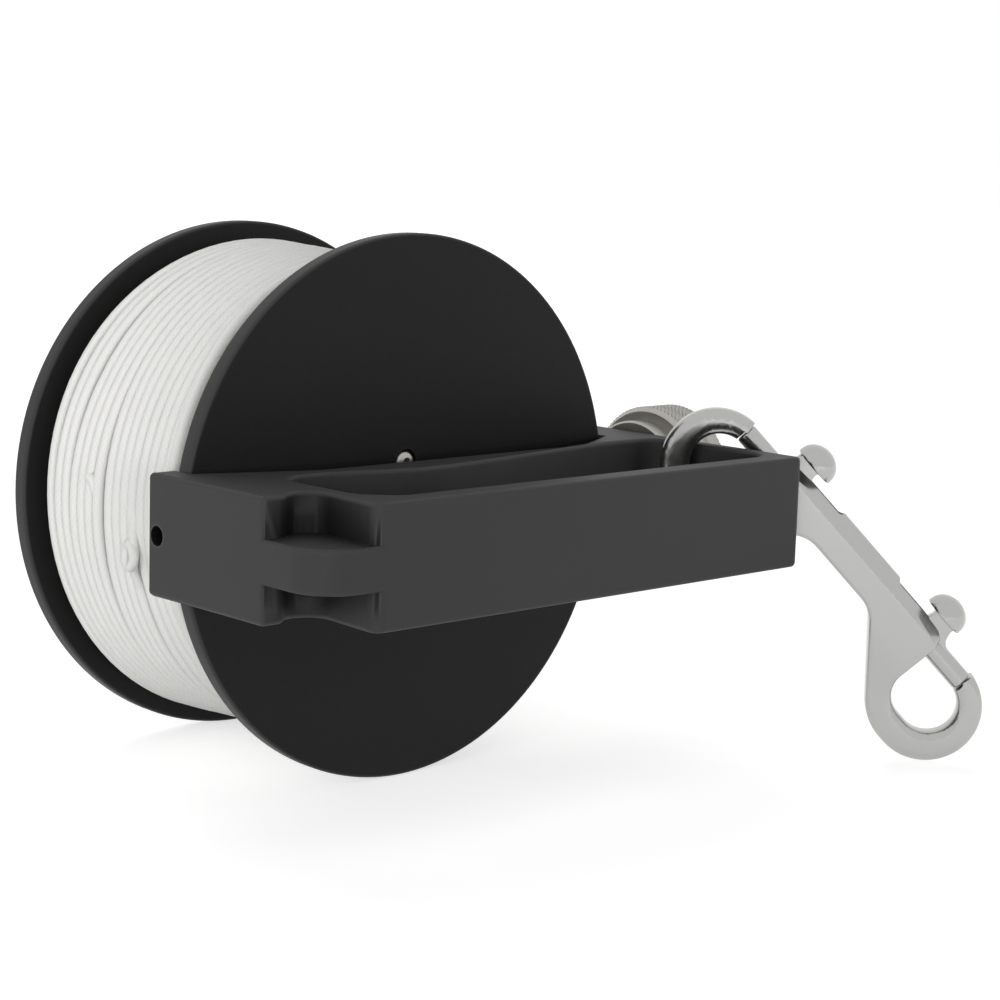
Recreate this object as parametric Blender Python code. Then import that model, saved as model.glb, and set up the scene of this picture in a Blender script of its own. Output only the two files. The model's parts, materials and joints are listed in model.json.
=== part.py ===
"""Dive reel: a machined handle, a spool of line on an axle, a lock knob and a bolt snap.

The origin lies on the handle's front face, on the line of the axle. +X runs along the
handle to the lock knob, +Y goes back along the axle, and +Z is up. Lengths are in metres.
"""

import math

import bmesh
import bpy
from mathutils import Matrix, Vector

# Clearances
SEAT_GAP = 0.0003
RIM_GAP = 0.0008
NOTCH_GAP = 0.0011
OVERRUN = 0.003
MERGE_SHARE = 0.01

# Handle: a bar of stock seen from above, cut through its full height
HANDLE_HEIGHT = 0.025
HANDLE_EDGE = 0.001
LEFT_ARM_WALL = 0.0046
RIGHT_ARM_WALL = 0.0112
FRONT_CORNER_RADIUS = 0.002
ARM_CORNER_RADIUS = 0.0012
LEFT_ARM_CORNER_RADIUS = 0.0005
FRONT_BAND_DEPTH = 0.0064
REAR_FACE_Y = 0.0409
REAR_BEND_LEFT_INSET = 0.026
REAR_BEND_RIGHT_INSET = 0.018
REAR_BEND_RADIUS = 0.022
REAR_SHOULDER_INSET = 0.0012
LEFT_ARM_REACH = 0.0045
RIGHT_ARM_REACH = 0.015

# Handle: the bay at the left end, measured from that end, with a web at half height
BAY_MOUTH_INSET = 0.013
BAY_MOUTH_RADIUS = 0.0026
BAY_CORNER_INSET = 0.0149
BAY_CORNER_Y = 0.0268
BAY_CORNER_RADIUS = 0.0045
BLOCK_FRONT_Y = 0.0176
BLOCK_LIP_INSET = 0.0049
BLOCK_LIP_RADIUS = 0.003
BLOCK_CORNER_RADIUS = 0.001
WEB_THICKNESS = 0.0088
WEB_CORNER_RADIUS = 0.0095
WEB_EDGE = 0.0006

# Handle: the hand slot, its left end measured from the handle's, its rear from the front face
SLOT_LEFT_INSET = 0.018
SLOT_FRONT_LEFT_INSET = 0.0244
SLOT_LEFT_CORNER_RADIUS = 0.006
SLOT_RIGHT_CORNER_RADIUS = 0.006
END_WALL = 0.004
SLOT_REAR_LEFT_Y = 0.0372
SLOT_BOSS_RUN = 0.021
SLOT_BOSS_Y = 0.0308
SLOT_REAR_RIGHT_RUN = 0.018
SLOT_REAR_RIGHT_Y = 0.0413
SLOT_REAR_RADIUS = 0.04
SLOT_REAR_CORNER_RADIUS = 0.006

# Handle: the eye window through the right end wall
WINDOW_TOP = 0.0042
WINDOW_BOTTOM = 0.0082
WINDOW_FRONT_Y = 0.014
WINDOW_REAR_Y = 0.035

# Spool
FLANGE_RADIUS = 0.06
FLANGE_THICKNESS = 0.0043
FLANGE_EDGE = 0.001
SPOOL_TO_HANDLE = 0.0099
SPOOL_WIDTH = 0.0562
HUB_RADIUS = 0.02

# Axle
AXLE_RADIUS = 0.004
AXLE_HEAD_RADIUS = 0.0062
AXLE_HEAD_HEIGHT = 0.0034
AXLE_SOCKET_RADIUS = 0.0028
AXLE_SOCKET_DEPTH = 0.0022
AXLE_SEAT_DEPTH = 0.0044
AXLE_TAIL = 0.0012
BUSH_WALL = 0.0018
BUSH_LENGTH = 0.016
BUSH_FLANGE_RADIUS = 0.0066
BUSH_FLANGE_THICKNESS = 0.0015
COLLAR_RADIUS = 0.0066
WASHER_RADIUS = 0.0082
WASHER_THICKNESS = 0.001
NUT_SIDES = 6
NUT_CORNER_RADIUS = 0.0075
NUT_HEIGHT = 0.0058

# Flange screws
SCREW_CIRCLE_RADIUS = 0.0105
SCREW_COUNT = 4
SCREW_RADIUS = 0.0015
SCREW_HEAD_RADIUS = 0.0027
SCREW_HEAD_HEIGHT = 0.0016
SCREW_SOCKET_RADIUS = 0.001
SCREW_SOCKET_DEPTH = 0.0009
SCREW_DEPTH = 0.0095
SCREW_SEAT_DEPTH = 0.0016
SCREW_TURN_STEPS = 1.5
SCREW_DOME_SHARES = ((0.62, 0.12), (0.9, 0.45))

# Line: the outer layer's turns over a plain core
LINE_DIAMETER = 0.0025
LINE_PITCH = 0.00295
LINE_BELOW_RIM = 0.006
LINE_POINTS_PER_TURN = 24
LINE_BEND_POINTS = 3
LINE_SIDE_STEPS = 1

# Winding knob on the rear flange
WINDER_INSET = 0.021
WINDER_ANGLE = math.radians(-25.3)
WINDER_LENGTH = 0.03
WINDER_WAIST_SHARE = 0.33
WINDER_FOOT_RADIUS = 0.0075
WINDER_WAIST_RADIUS = 0.0066
WINDER_HEAD_RADIUS = 0.0092
WINDER_HEAD_BAND = 0.0032
WINDER_EDGE = 0.0016
SPINDLE_RADIUS = 0.0025
SPINDLE_SHOULDER_RADIUS = 0.0045
SPINDLE_SHOULDER = 0.002
SPINDLE_HEAD_RADIUS = 0.0042
SPINDLE_HEAD_HEIGHT = 0.0024

# Lock knob on the handle's right end
LOCK_COLLAR_RADIUS = 0.0148
LOCK_COLLAR_LENGTH = 0.0027
LOCK_FACE_RADIUS = 0.0164
LOCK_FACE_LENGTH = 0.0009
LOCK_KNOB_RADIUS = 0.018
LOCK_CHAMFER_LENGTH = 0.0021
LOCK_BAND_LENGTH = 0.0106
LOCK_EDGE = 0.0012
LOCK_SCREW_RADIUS = 0.003
LOCK_SCREW_IN_KNOB = 0.012
LOCK_PAD_LENGTH = 0.0029
LEFT_HOLE_RADIUS = 0.0021
LEFT_HOLE_AHEAD_OF_RIM = 0.0005

# Bolt snap, in its own plane: each end is measured from the centre of its ring
SNAP_RING_SPACING = 0.0747
SNAP_RING_RADIUS = 0.0129
SNAP_RING_HALF_THICKNESS = 0.0031
SNAP_RING_EDGE = 0.0024
SNAP_HOLE_RADIUS = 0.0071
SNAP_HOLE_INSET = 0.0003
SNAP_HOLE_RISE = 0.0003
SNAP_BODY_HALF_THICKNESS = 0.0039
SNAP_BODY_EDGE = 0.0012
SNAP_BACK_EDGE = 0.0022
SNAP_BACK = 0.0149
SNAP_BACK_END = 0.0144
SNAP_BACK_RUN = 0.0072
SNAP_WAIST = 0.0051
SNAP_WAIST_TO_RING = 0.0264
SNAP_WAIST_RADIUS = 0.008
SNAP_NECK_ANGLE = math.radians(42.4)
SNAP_HEEL_RADIUS = 0.013
SNAP_BARREL_TO_RING = 0.0096
SNAP_TIP_TO_RING = 0.0013
SNAP_BOLT_AXIS = 0.0098
SNAP_BOLT_RADIUS = 0.0025
SNAP_BOLT_TAIL = 0.003
SNAP_BOLT_STROKE = 0.0095
SNAP_SPRING_ROOM = 0.003
SNAP_STUD_TO_RING = 0.0122
SNAP_STUD_LENGTH = 0.0066
SNAP_STUD_WIDTH = 0.003
SNAP_STUD_SINK = 0.0012
SNAP_STUD_CORNER_SHARE = 0.45
SNAP_CAP_TO_RING = 0.0131
SNAP_CAP_RADIUS = 0.0051
SNAP_CAP_LIFT = 0.0014
SNAP_CAP_RIM = 0.0008
SNAP_CAP_DOME = 0.0038

# Bolt snap, how it hangs through the end wall
SNAP_AT_Y = 0.0242
SNAP_AT_Z = 0.0083
SNAP_OUTSIDE_WALL = 0.0019
SNAP_TURN = math.radians(41)
SNAP_DROP = math.radians(46.9)

# Steps of round shapes
EDGE_STEPS = 3
DOME_STEPS = 3
DISC_STEPS = 64
WELL_STEPS = 128
LINE_CORE_STEPS = 48
SHAFT_STEPS = 24
KNOB_STEPS = 40
SCREW_STEPS = 12
HOLE_STEPS = 16
DEGREES_PER_STEP = 18
DEGREES_PER_EDGE_STEP = 45
SHARP_ANGLE = math.radians(35)

# Places along the axle, worked out from the sizes above
FLANGE_FRONT_Y = REAR_FACE_Y + SPOOL_TO_HANDLE
DRUM_FRONT_Y = FLANGE_FRONT_Y + FLANGE_THICKNESS
DRUM_REAR_Y = DRUM_FRONT_Y + SPOOL_WIDTH
SPOOL_REAR_Y = DRUM_REAR_Y + FLANGE_THICKNESS
RIM_Y = FLANGE_FRONT_Y + FLANGE_THICKNESS / 2
NOTCH_Y = FLANGE_FRONT_Y - NOTCH_GAP
ARM_INNER_RADIUS = FLANGE_RADIUS + RIM_GAP
LEFT_FACE_X = ARM_INNER_RADIUS + LEFT_ARM_WALL
RIGHT_FACE_X = ARM_INNER_RADIUS + RIGHT_ARM_WALL
REAR_SHOULDER_X = FLANGE_RADIUS - REAR_SHOULDER_INSET
REAR_BEND_LEFT_X = FLANGE_RADIUS - REAR_BEND_LEFT_INSET
REAR_BEND_RIGHT_X = FLANGE_RADIUS - REAR_BEND_RIGHT_INSET
HALF_HEIGHT = HANDLE_HEIGHT / 2
SLOT_LEFT_X = LEFT_FACE_X - SLOT_LEFT_INSET
SLOT_FRONT_LEFT_X = LEFT_FACE_X - SLOT_FRONT_LEFT_INSET
SLOT_RIGHT_X = RIGHT_FACE_X - END_WALL
SLOT_REAR_RIGHT_X = SLOT_RIGHT_X - SLOT_REAR_RIGHT_RUN
SLOT_BOSS_X = REAR_BEND_LEFT_X - SLOT_BOSS_RUN
AXLE_BORE_RADIUS = AXLE_RADIUS + SEAT_GAP
BUSH_RADIUS = AXLE_BORE_RADIUS + BUSH_WALL
BUSH_BORE_RADIUS = BUSH_RADIUS + SEAT_GAP
LINE_OUTER_RADIUS = FLANGE_RADIUS - LINE_BELOW_RIM
WINDER_X = (FLANGE_RADIUS - WINDER_INSET) * math.cos(WINDER_ANGLE)
WINDER_Z = (FLANGE_RADIUS - WINDER_INSET) * math.sin(WINDER_ANGLE)

ALONG_X = Vector((1, 0, 0))
ALONG_Y = Vector((0, 1, 0))
ALONG_Z = Vector((0, 0, 1))


def clear_scene():
    for obj in list(bpy.data.objects):
        bpy.data.objects.remove(obj)


def material(name, colour, roughness, metallic):
    made = bpy.data.materials.new(name)
    made.use_nodes = True
    surface = made.node_tree.nodes["Principled BSDF"]
    surface.inputs["Base Color"].default_value = (*colour, 1)
    surface.inputs["Roughness"].default_value = roughness
    surface.inputs["Metallic"].default_value = metallic
    made.diffuse_color = (*colour, 1)
    return made


def add_object(name, mesh, finish=None, parent=None):
    """An object in the scene; one without a finish is a cutter, which isn't rendered."""
    obj = bpy.data.objects.new(name, mesh)
    bpy.context.collection.objects.link(obj)
    obj.parent = parent
    if finish is None:
        obj.hide_render = True
        obj.display_type = "WIRE"
    else:
        mesh.materials.append(material(name, *finish))
    return obj


def mesh_from(name, bm):
    bmesh.ops.recalc_face_normals(bm, faces=bm.faces)
    mesh = bpy.data.meshes.new(name)
    bm.to_mesh(mesh)
    bm.free()
    mesh.shade_smooth()
    mesh.set_sharp_from_angle(angle=SHARP_ANGLE)
    return mesh


def rounded(corners, step=DEGREES_PER_STEP):
    """The outline through corners (x, y, radius), with each corner turned into an arc."""
    points = []
    for i, (x, y, radius) in enumerate(corners):
        corner = Vector((x, y))
        before = (Vector(corners[i - 1][:2]) - corner).normalized()
        after = (Vector(corners[(i + 1) % len(corners)][:2]) - corner).normalized()
        if radius == 0:
            points.append(corner)
            continue
        opening = before.angle(after)
        reach = radius / math.tan(opening / 2)
        middle = corner + (before + after).normalized() * radius / math.sin(opening / 2)
        turn = math.pi - opening
        steps = max(2, math.ceil(math.degrees(turn) / step))
        start = corner + before * reach - middle
        side = 1 if before.cross(after) < 0 else -1
        for k in range(steps + 1):
            spoke = start.copy()
            spoke.rotate(Matrix.Rotation(side * turn * k / steps, 2))
            points.append(middle + spoke)
    return points


def inset_outline(outline, distances):
    """Each point moved to the left of the direction of travel, so that its edges shift in."""
    moved = []
    for i, point in enumerate(outline):
        along = (point - outline[i - 1]).normalized()
        onward = (outline[(i + 1) % len(outline)] - point).normalized()
        left = Vector((-along.y, along.x))
        next_left = Vector((-onward.y, onward.x))
        middle = (left + next_left).normalized()
        moved.append(point + middle * distances[i] / middle.dot(left))
    return moved


def plate(name, outlines, half_heights, edges):
    """A plate with rounded edges: outlines run with the material on their left."""
    bm = bmesh.new()
    rims = {1: [], -1: []}
    for outline, heights, rounding in zip(outlines, half_heights, edges):
        rings = []
        for side in (-1, 1):
            turns = range(EDGE_STEPS + 1) if side > 0 else range(EDGE_STEPS, -1, -1)
            for k in turns:
                angle = math.pi / 2 * k / EDGE_STEPS
                insets = [edge * (1 - math.cos(angle)) for edge in rounding]
                points = inset_outline(outline, insets)
                ring = [
                    bm.verts.new((p.x, p.y, side * (h - e * (1 - math.sin(angle)))))
                    for p, h, e in zip(points, heights, rounding)
                ]
                rings.append(ring)
        for low, high in zip(rings, rings[1:]):
            for i in range(len(low)):
                j = (i + 1) % len(low)
                bm.faces.new((low[i], low[j], high[j], high[i]))
        for side, ring in ((-1, rings[0]), (1, rings[-1])):
            for i in range(len(ring)):
                rims[side].append(bm.edges.get((ring[i], ring[(i + 1) % len(ring)])))
    for side in rims:
        bmesh.ops.triangle_fill(
            bm, use_beauty=True, use_dissolve=False, edges=rims[side], normal=(0, 0, side)
        )
    return mesh_from(name, bm)


def even(value, outline):
    return [value] * len(outline)


def spun(name, profile, steps, closed):
    """A profile of (radius, height) turned about +Z. A closed one goes round a bore."""
    bm = bmesh.new()
    verts = [bm.verts.new((radius, 0, height)) for radius, height in profile]
    pairs = list(zip(verts, verts[1:]))
    if closed:
        pairs.append((verts[-1], verts[0]))
    edges = [bm.edges.new(pair) for pair in pairs]
    bmesh.ops.spin(
        bm, geom=edges, cent=(0, 0, 0), axis=ALONG_Z, angle=math.tau, steps=steps, use_merge=True
    )
    bmesh.ops.remove_doubles(bm, verts=bm.verts, dist=SEAT_GAP * MERGE_SHARE)
    return mesh_from(name, bm)


def turned(name, profile, steps, finish, axis=ALONG_Y, place=(0, 0, 0), closed=False, parent=None):
    """A turned piece whose profile's heights are measured along its axis from its place."""
    obj = add_object(name, spun(name, profile, steps, closed), finish, parent)
    obj.location = place
    obj.rotation_mode = "QUATERNION"
    obj.rotation_quaternion = ALONG_Z.rotation_difference(axis)
    return obj


def cut(obj, cutter):
    change = obj.modifiers.new(cutter.name, "BOOLEAN")
    change.operation = "DIFFERENCE"
    change.object = cutter


def join(obj, other):
    change = obj.modifiers.new(other.name, "BOOLEAN")
    change.operation = "UNION"
    change.object = other


def hole(obj, radius, start, end, axis=ALONG_Y, across=(0, 0, 0), steps=HOLE_STEPS):
    """Drills a round hole from start to end along the axis, through the point across."""
    name = f"{obj.name}_hole_{len(obj.modifiers) + 1}"
    profile = [(0, start), (radius, start), (radius, end), (0, end)]
    cut(obj, turned(name, profile, steps, None, axis, across, parent=obj.parent))


def box_mesh(name, low, high):
    bm = bmesh.new()
    bmesh.ops.create_cube(bm, size=1)
    low, high = Vector(low), Vector(high)
    bmesh.ops.scale(bm, vec=high - low, verts=bm.verts)
    bmesh.ops.translate(bm, vec=(low + high) / 2, verts=bm.verts)
    return mesh_from(name, bm)


def dome(radius, start, height, steps=DOME_STEPS):
    """Profile points of a low dome, from its rim to its top on the axis."""
    points = []
    for k in range(steps + 1):
        angle = math.pi / 2 * k / steps
        points.append((radius * math.cos(angle), start + height * math.sin(angle)))
    points[-1] = (0, start + height)
    return points


BLACK_PLASTIC = ((0.018, 0.018, 0.019), 0.55, 0)
BLACK_FLANGE = ((0.014, 0.015, 0.017), 0.5, 0)
STEEL = ((0.6, 0.6, 0.59), 0.25, 1)
WHITE_LINE = ((0.85, 0.86, 0.85), 0.8, 0)
PALE_PLASTIC = ((0.7, 0.7, 0.68), 0.45, 0)


def handle_outline():
    corners = [
        (BAY_MOUTH_INSET - LEFT_FACE_X, 0, BAY_MOUTH_RADIUS),
        (RIGHT_FACE_X, 0, FRONT_CORNER_RADIUS),
        (RIGHT_FACE_X, FLANGE_FRONT_Y + RIGHT_ARM_REACH, ARM_CORNER_RADIUS),
        (REAR_SHOULDER_X, FLANGE_FRONT_Y + RIGHT_ARM_REACH, 0),
        (REAR_SHOULDER_X, NOTCH_Y, 0),
        (REAR_BEND_RIGHT_X, REAR_FACE_Y, REAR_BEND_RADIUS),
        (-REAR_BEND_LEFT_X, REAR_FACE_Y, REAR_BEND_RADIUS),
        (-REAR_SHOULDER_X, NOTCH_Y, 0),
        (-REAR_SHOULDER_X, FLANGE_FRONT_Y + LEFT_ARM_REACH, 0),
        (-LEFT_FACE_X, FLANGE_FRONT_Y + LEFT_ARM_REACH, LEFT_ARM_CORNER_RADIUS),
        (-LEFT_FACE_X, BLOCK_FRONT_Y, BLOCK_CORNER_RADIUS),
        (BLOCK_LIP_INSET - LEFT_FACE_X, BLOCK_FRONT_Y, BLOCK_LIP_RADIUS),
        (BAY_CORNER_INSET - LEFT_FACE_X, BAY_CORNER_Y, BAY_CORNER_RADIUS),
    ]
    return rounded(corners)


def slot_outline():
    corners = [
        (-SLOT_FRONT_LEFT_X, FRONT_BAND_DEPTH, SLOT_LEFT_CORNER_RADIUS),
        (-SLOT_LEFT_X, (FRONT_BAND_DEPTH + BLOCK_FRONT_Y) / 2, SLOT_LEFT_CORNER_RADIUS),
        (-SLOT_LEFT_X, SLOT_REAR_LEFT_Y, SLOT_REAR_CORNER_RADIUS),
        (-REAR_BEND_LEFT_X, SLOT_REAR_LEFT_Y, SLOT_REAR_CORNER_RADIUS),
        (-SLOT_BOSS_X, SLOT_BOSS_Y, SLOT_REAR_RADIUS),
        (SLOT_REAR_RIGHT_X, SLOT_REAR_RIGHT_Y, SLOT_REAR_RADIUS),
        (SLOT_RIGHT_X, SLOT_REAR_RIGHT_Y, SLOT_REAR_CORNER_RADIUS),
        (SLOT_RIGHT_X, FRONT_BAND_DEPTH, SLOT_RIGHT_CORNER_RADIUS),
    ]
    return rounded(corners)


def web_outline():
    """The mid-height web that fills the bay's corner, run into the handle on two sides."""
    inside_x = LEFT_FACE_X - BAY_CORNER_INSET - OVERRUN / 2
    corners = [
        (-LEFT_FACE_X, 0, WEB_CORNER_RADIUS),
        (-inside_x, 0, 0),
        (-inside_x, BAY_CORNER_Y, 0),
        (-LEFT_FACE_X, BAY_CORNER_Y, 0),
    ]
    return rounded(corners)


def make_frame():
    outline, slot = handle_outline(), slot_outline()
    outlines = [outline, slot]
    heights = [even(HALF_HEIGHT, points) for points in outlines]
    edges = [even(HANDLE_EDGE, points) for points in outlines]
    frame = add_object("frame", plate("frame", outlines, heights, edges), BLACK_PLASTIC)
    web = web_outline()
    mesh = plate("web", [web], [even(WEB_THICKNESS / 2, web)], [even(WEB_EDGE, web)])
    join(frame, add_object("web", mesh))
    low = (SLOT_RIGHT_X - OVERRUN, WINDOW_FRONT_Y, -WINDOW_BOTTOM)
    high = (RIGHT_FACE_X + OVERRUN, WINDOW_REAR_Y, WINDOW_TOP)
    cut(frame, add_object("window", box_mesh("window", low, high)))
    seat_y = REAR_FACE_Y - AXLE_SEAT_DEPTH
    hole(frame, AXLE_HEAD_RADIUS + SEAT_GAP, SLOT_BOSS_Y - OVERRUN, seat_y, steps=SHAFT_STEPS)
    hole(frame, AXLE_BORE_RADIUS, seat_y - OVERRUN, REAR_FACE_Y + OVERRUN)
    well_end = FLANGE_FRONT_Y + RIGHT_ARM_REACH + OVERRUN
    hole(frame, ARM_INNER_RADIUS, NOTCH_Y, well_end, steps=WELL_STEPS)
    screw_line = (0, RIM_Y, 0)
    hole_radius = LOCK_SCREW_RADIUS + SEAT_GAP
    arm_start = REAR_SHOULDER_X - OVERRUN
    hole(frame, hole_radius, arm_start, RIGHT_FACE_X + OVERRUN, ALONG_X, screw_line)
    left_line = (0, RIM_Y - LEFT_HOLE_AHEAD_OF_RIM, 0)
    hole(frame, LEFT_HOLE_RADIUS, -LEFT_FACE_X - OVERRUN, -arm_start, ALONG_X, left_line)


def ring_profile(inner, outer, start, end, edge=0):
    """A closed profile round a bore, with its outer edges rounded."""
    corners = [(inner, start, 0), (outer, start, edge), (outer, end, edge), (inner, end, 0)]
    return [tuple(point) for point in rounded(corners, DEGREES_PER_EDGE_STEP)]


def make_axle():
    seat_y = REAR_FACE_Y - AXLE_SEAT_DEPTH - SEAT_GAP
    head_y = seat_y - AXLE_HEAD_HEIGHT
    flange_y = SPOOL_REAR_Y + SEAT_GAP + BUSH_FLANGE_THICKNESS
    washer_y = flange_y + SEAT_GAP
    nut_y = washer_y + WASHER_THICKNESS + SEAT_GAP
    end_y = nut_y + NUT_HEIGHT + AXLE_TAIL
    profile = [
        (0, head_y + AXLE_SOCKET_DEPTH),
        (AXLE_SOCKET_RADIUS, head_y + AXLE_SOCKET_DEPTH),
        (AXLE_SOCKET_RADIUS, head_y),
        (AXLE_HEAD_RADIUS, head_y),
        (AXLE_HEAD_RADIUS, seat_y),
        (AXLE_RADIUS, seat_y),
        (AXLE_RADIUS, end_y),
        (0, end_y),
    ]
    turned("axle_screw", profile, SHAFT_STEPS, STEEL)
    collar_end = FLANGE_FRONT_Y - BUSH_FLANGE_THICKNESS - SEAT_GAP - SEAT_GAP
    collar = ring_profile(AXLE_BORE_RADIUS, COLLAR_RADIUS, REAR_FACE_Y + SEAT_GAP, collar_end)
    turned("thrust_collar", collar, SHAFT_STEPS, PALE_PLASTIC, closed=True)
    washer = ring_profile(AXLE_BORE_RADIUS, WASHER_RADIUS, washer_y, washer_y + WASHER_THICKNESS)
    turned("rear_washer", washer, SHAFT_STEPS, STEEL, closed=True)
    nut_end = nut_y + NUT_HEIGHT
    hexagon = [(0, nut_y), (NUT_CORNER_RADIUS, nut_y), (NUT_CORNER_RADIUS, nut_end), (0, nut_end)]
    nut = turned("axle_nut", hexagon, NUT_SIDES, STEEL)
    hole(nut, AXLE_BORE_RADIUS, nut_y - OVERRUN, nut_end + OVERRUN, steps=SHAFT_STEPS)


def bush(name, face_y, outward):
    """A flanged bush whose flange lies on the outside of a spool flange."""
    flange_start = face_y + outward * SEAT_GAP
    flange_end = flange_start + outward * BUSH_FLANGE_THICKNESS
    inner_end = face_y - outward * BUSH_LENGTH
    profile = [
        (AXLE_BORE_RADIUS, flange_end),
        (BUSH_FLANGE_RADIUS, flange_end),
        (BUSH_FLANGE_RADIUS, flange_start),
        (BUSH_RADIUS, flange_start),
        (BUSH_RADIUS, inner_end),
        (AXLE_BORE_RADIUS, inner_end),
    ]
    turned(name, profile, SHAFT_STEPS, PALE_PLASTIC, closed=True)


def screw_places():
    turn = math.tau * SCREW_TURN_STEPS / DISC_STEPS
    for k in range(SCREW_COUNT):
        angle = math.tau * k / SCREW_COUNT + math.pi / 2 + turn
        yield SCREW_CIRCLE_RADIUS * math.cos(angle), SCREW_CIRCLE_RADIUS * math.sin(angle)


def flange_screws(side, face_y, outward):
    """Domed screws in a spool flange's seats, their depths measured inwards from the seats."""
    head = SEAT_GAP + SCREW_HEAD_HEIGHT
    profile = [
        (0, SCREW_SOCKET_DEPTH - head),
        (SCREW_SOCKET_RADIUS, SCREW_SOCKET_DEPTH - head),
        (SCREW_SOCKET_RADIUS, -head),
        *[(SCREW_HEAD_RADIUS * r, SCREW_HEAD_HEIGHT * h - head) for r, h in SCREW_DOME_SHARES],
        (SCREW_HEAD_RADIUS, -SEAT_GAP),
        (SCREW_RADIUS, -SEAT_GAP),
        (SCREW_RADIUS, SCREW_DEPTH),
        (0, SCREW_DEPTH),
    ]
    for k, (x, z) in enumerate(screw_places()):
        name = f"{side}_flange_screw_{k + 1}"
        place = (x, face_y - outward * SCREW_SEAT_DEPTH, z)
        turned(name, profile, SCREW_STEPS, STEEL, ALONG_Y * -outward, place)


def make_spool():
    bore = BUSH_BORE_RADIUS
    clear = SCREW_RADIUS + SEAT_GAP
    head_clear = SCREW_HEAD_RADIUS + SEAT_GAP
    front_seat = FLANGE_FRONT_Y + SCREW_SEAT_DEPTH
    rear_seat = SPOOL_REAR_Y - SCREW_SEAT_DEPTH
    for name, start, seat, outward in (
        ("flange_front", FLANGE_FRONT_Y, front_seat, -1),
        ("flange_rear", DRUM_REAR_Y, rear_seat, 1),
    ):
        inside = seat - outward * FLANGE_THICKNESS
        outside = seat + outward * (SCREW_SEAT_DEPTH + OVERRUN)
        end = start + FLANGE_THICKNESS
        profile = ring_profile(bore, FLANGE_RADIUS, start, end, FLANGE_EDGE)
        flange = turned(name, profile, DISC_STEPS, BLACK_FLANGE, closed=True)
        for k, (x, z) in enumerate(screw_places()):
            stepped = [(0, inside), (clear, inside), (clear, seat), (head_clear, seat)]
            stepped += [(head_clear, outside), (0, outside)]
            seat_name = f"{name}_seat_{k + 1}"
            cut(flange, turned(seat_name, stepped, SCREW_STEPS, None, place=(x, 0, z)))
        if name == "flange_rear":
            place = (WINDER_X, 0, WINDER_Z)
            hole(flange, SPINDLE_RADIUS + SEAT_GAP, start - OVERRUN, end + OVERRUN, across=place)
    hub_start, hub_end = DRUM_FRONT_Y + SEAT_GAP, DRUM_REAR_Y - SEAT_GAP
    hub_profile = ring_profile(bore, HUB_RADIUS, hub_start, hub_end)
    hub = turned("hub", hub_profile, SHAFT_STEPS, BLACK_PLASTIC, closed=True)
    bottom = SCREW_DEPTH + SEAT_GAP
    for x, z in screw_places():
        place = (x, 0, z)
        front_end = front_seat + bottom
        rear_end = rear_seat - bottom
        hole(hub, clear, hub_start - OVERRUN, front_end, across=place, steps=SCREW_STEPS)
        hole(hub, clear, rear_end, hub_end + OVERRUN, across=place, steps=SCREW_STEPS)
    bush("bush_front", FLANGE_FRONT_Y, -1)
    bush("bush_rear", SPOOL_REAR_Y, 1)
    flange_screws("front", FLANGE_FRONT_Y, -1)
    flange_screws("rear", SPOOL_REAR_Y, 1)


def winding_places():
    """The turns' radius, the first and last turns' places and how many turns fit."""
    radius = LINE_OUTER_RADIUS - LINE_DIAMETER / 2
    room = SPOOL_WIDTH - 2 * SEAT_GAP - LINE_DIAMETER
    turns = int(room / LINE_PITCH)
    first = DRUM_FRONT_Y + (SPOOL_WIDTH - turns * LINE_PITCH) / 2
    return radius, first, turns


def line_points():
    """The centre of the outer layer of line, which comes up out of the core and goes back in."""
    radius, first, turns = winding_places()
    steps = turns * LINE_POINTS_PER_TURN
    points = []
    for k in range(steps + 1):
        angle = math.tau * k / LINE_POINTS_PER_TURN
        along = first + LINE_PITCH * k / LINE_POINTS_PER_TURN
        points.append(Vector((radius * math.sin(angle), along, radius * math.cos(angle))))
    return dive(points[1], points[0])[::-1] + points + dive(points[-2], points[-1])


def dive(before, last):
    """Points that bend from the last turn straight down into the core."""
    along = (last - before).normalized()
    inward = Vector((-last.x, 0, -last.z)).normalized()
    bend = LINE_DIAMETER
    middle = last + inward * bend
    points = []
    for k in range(1, LINE_BEND_POINTS + 1):
        angle = math.pi / 2 * k / LINE_BEND_POINTS
        points.append(middle + (along * math.sin(angle) - inward * math.cos(angle)) * bend)
    points.append(points[-1] + inward * LINE_DIAMETER)
    return points


def least_gap(points):
    """The smallest space between stretches of line that lie a turn or more apart."""
    apart = LINE_POINTS_PER_TURN // 2
    nearest = min(
        (points[j] - points[i]).length
        for i in range(len(points))
        for j in range(i + apart, min(len(points), i + apart + LINE_POINTS_PER_TURN))
    )
    return nearest - LINE_DIAMETER


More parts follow.
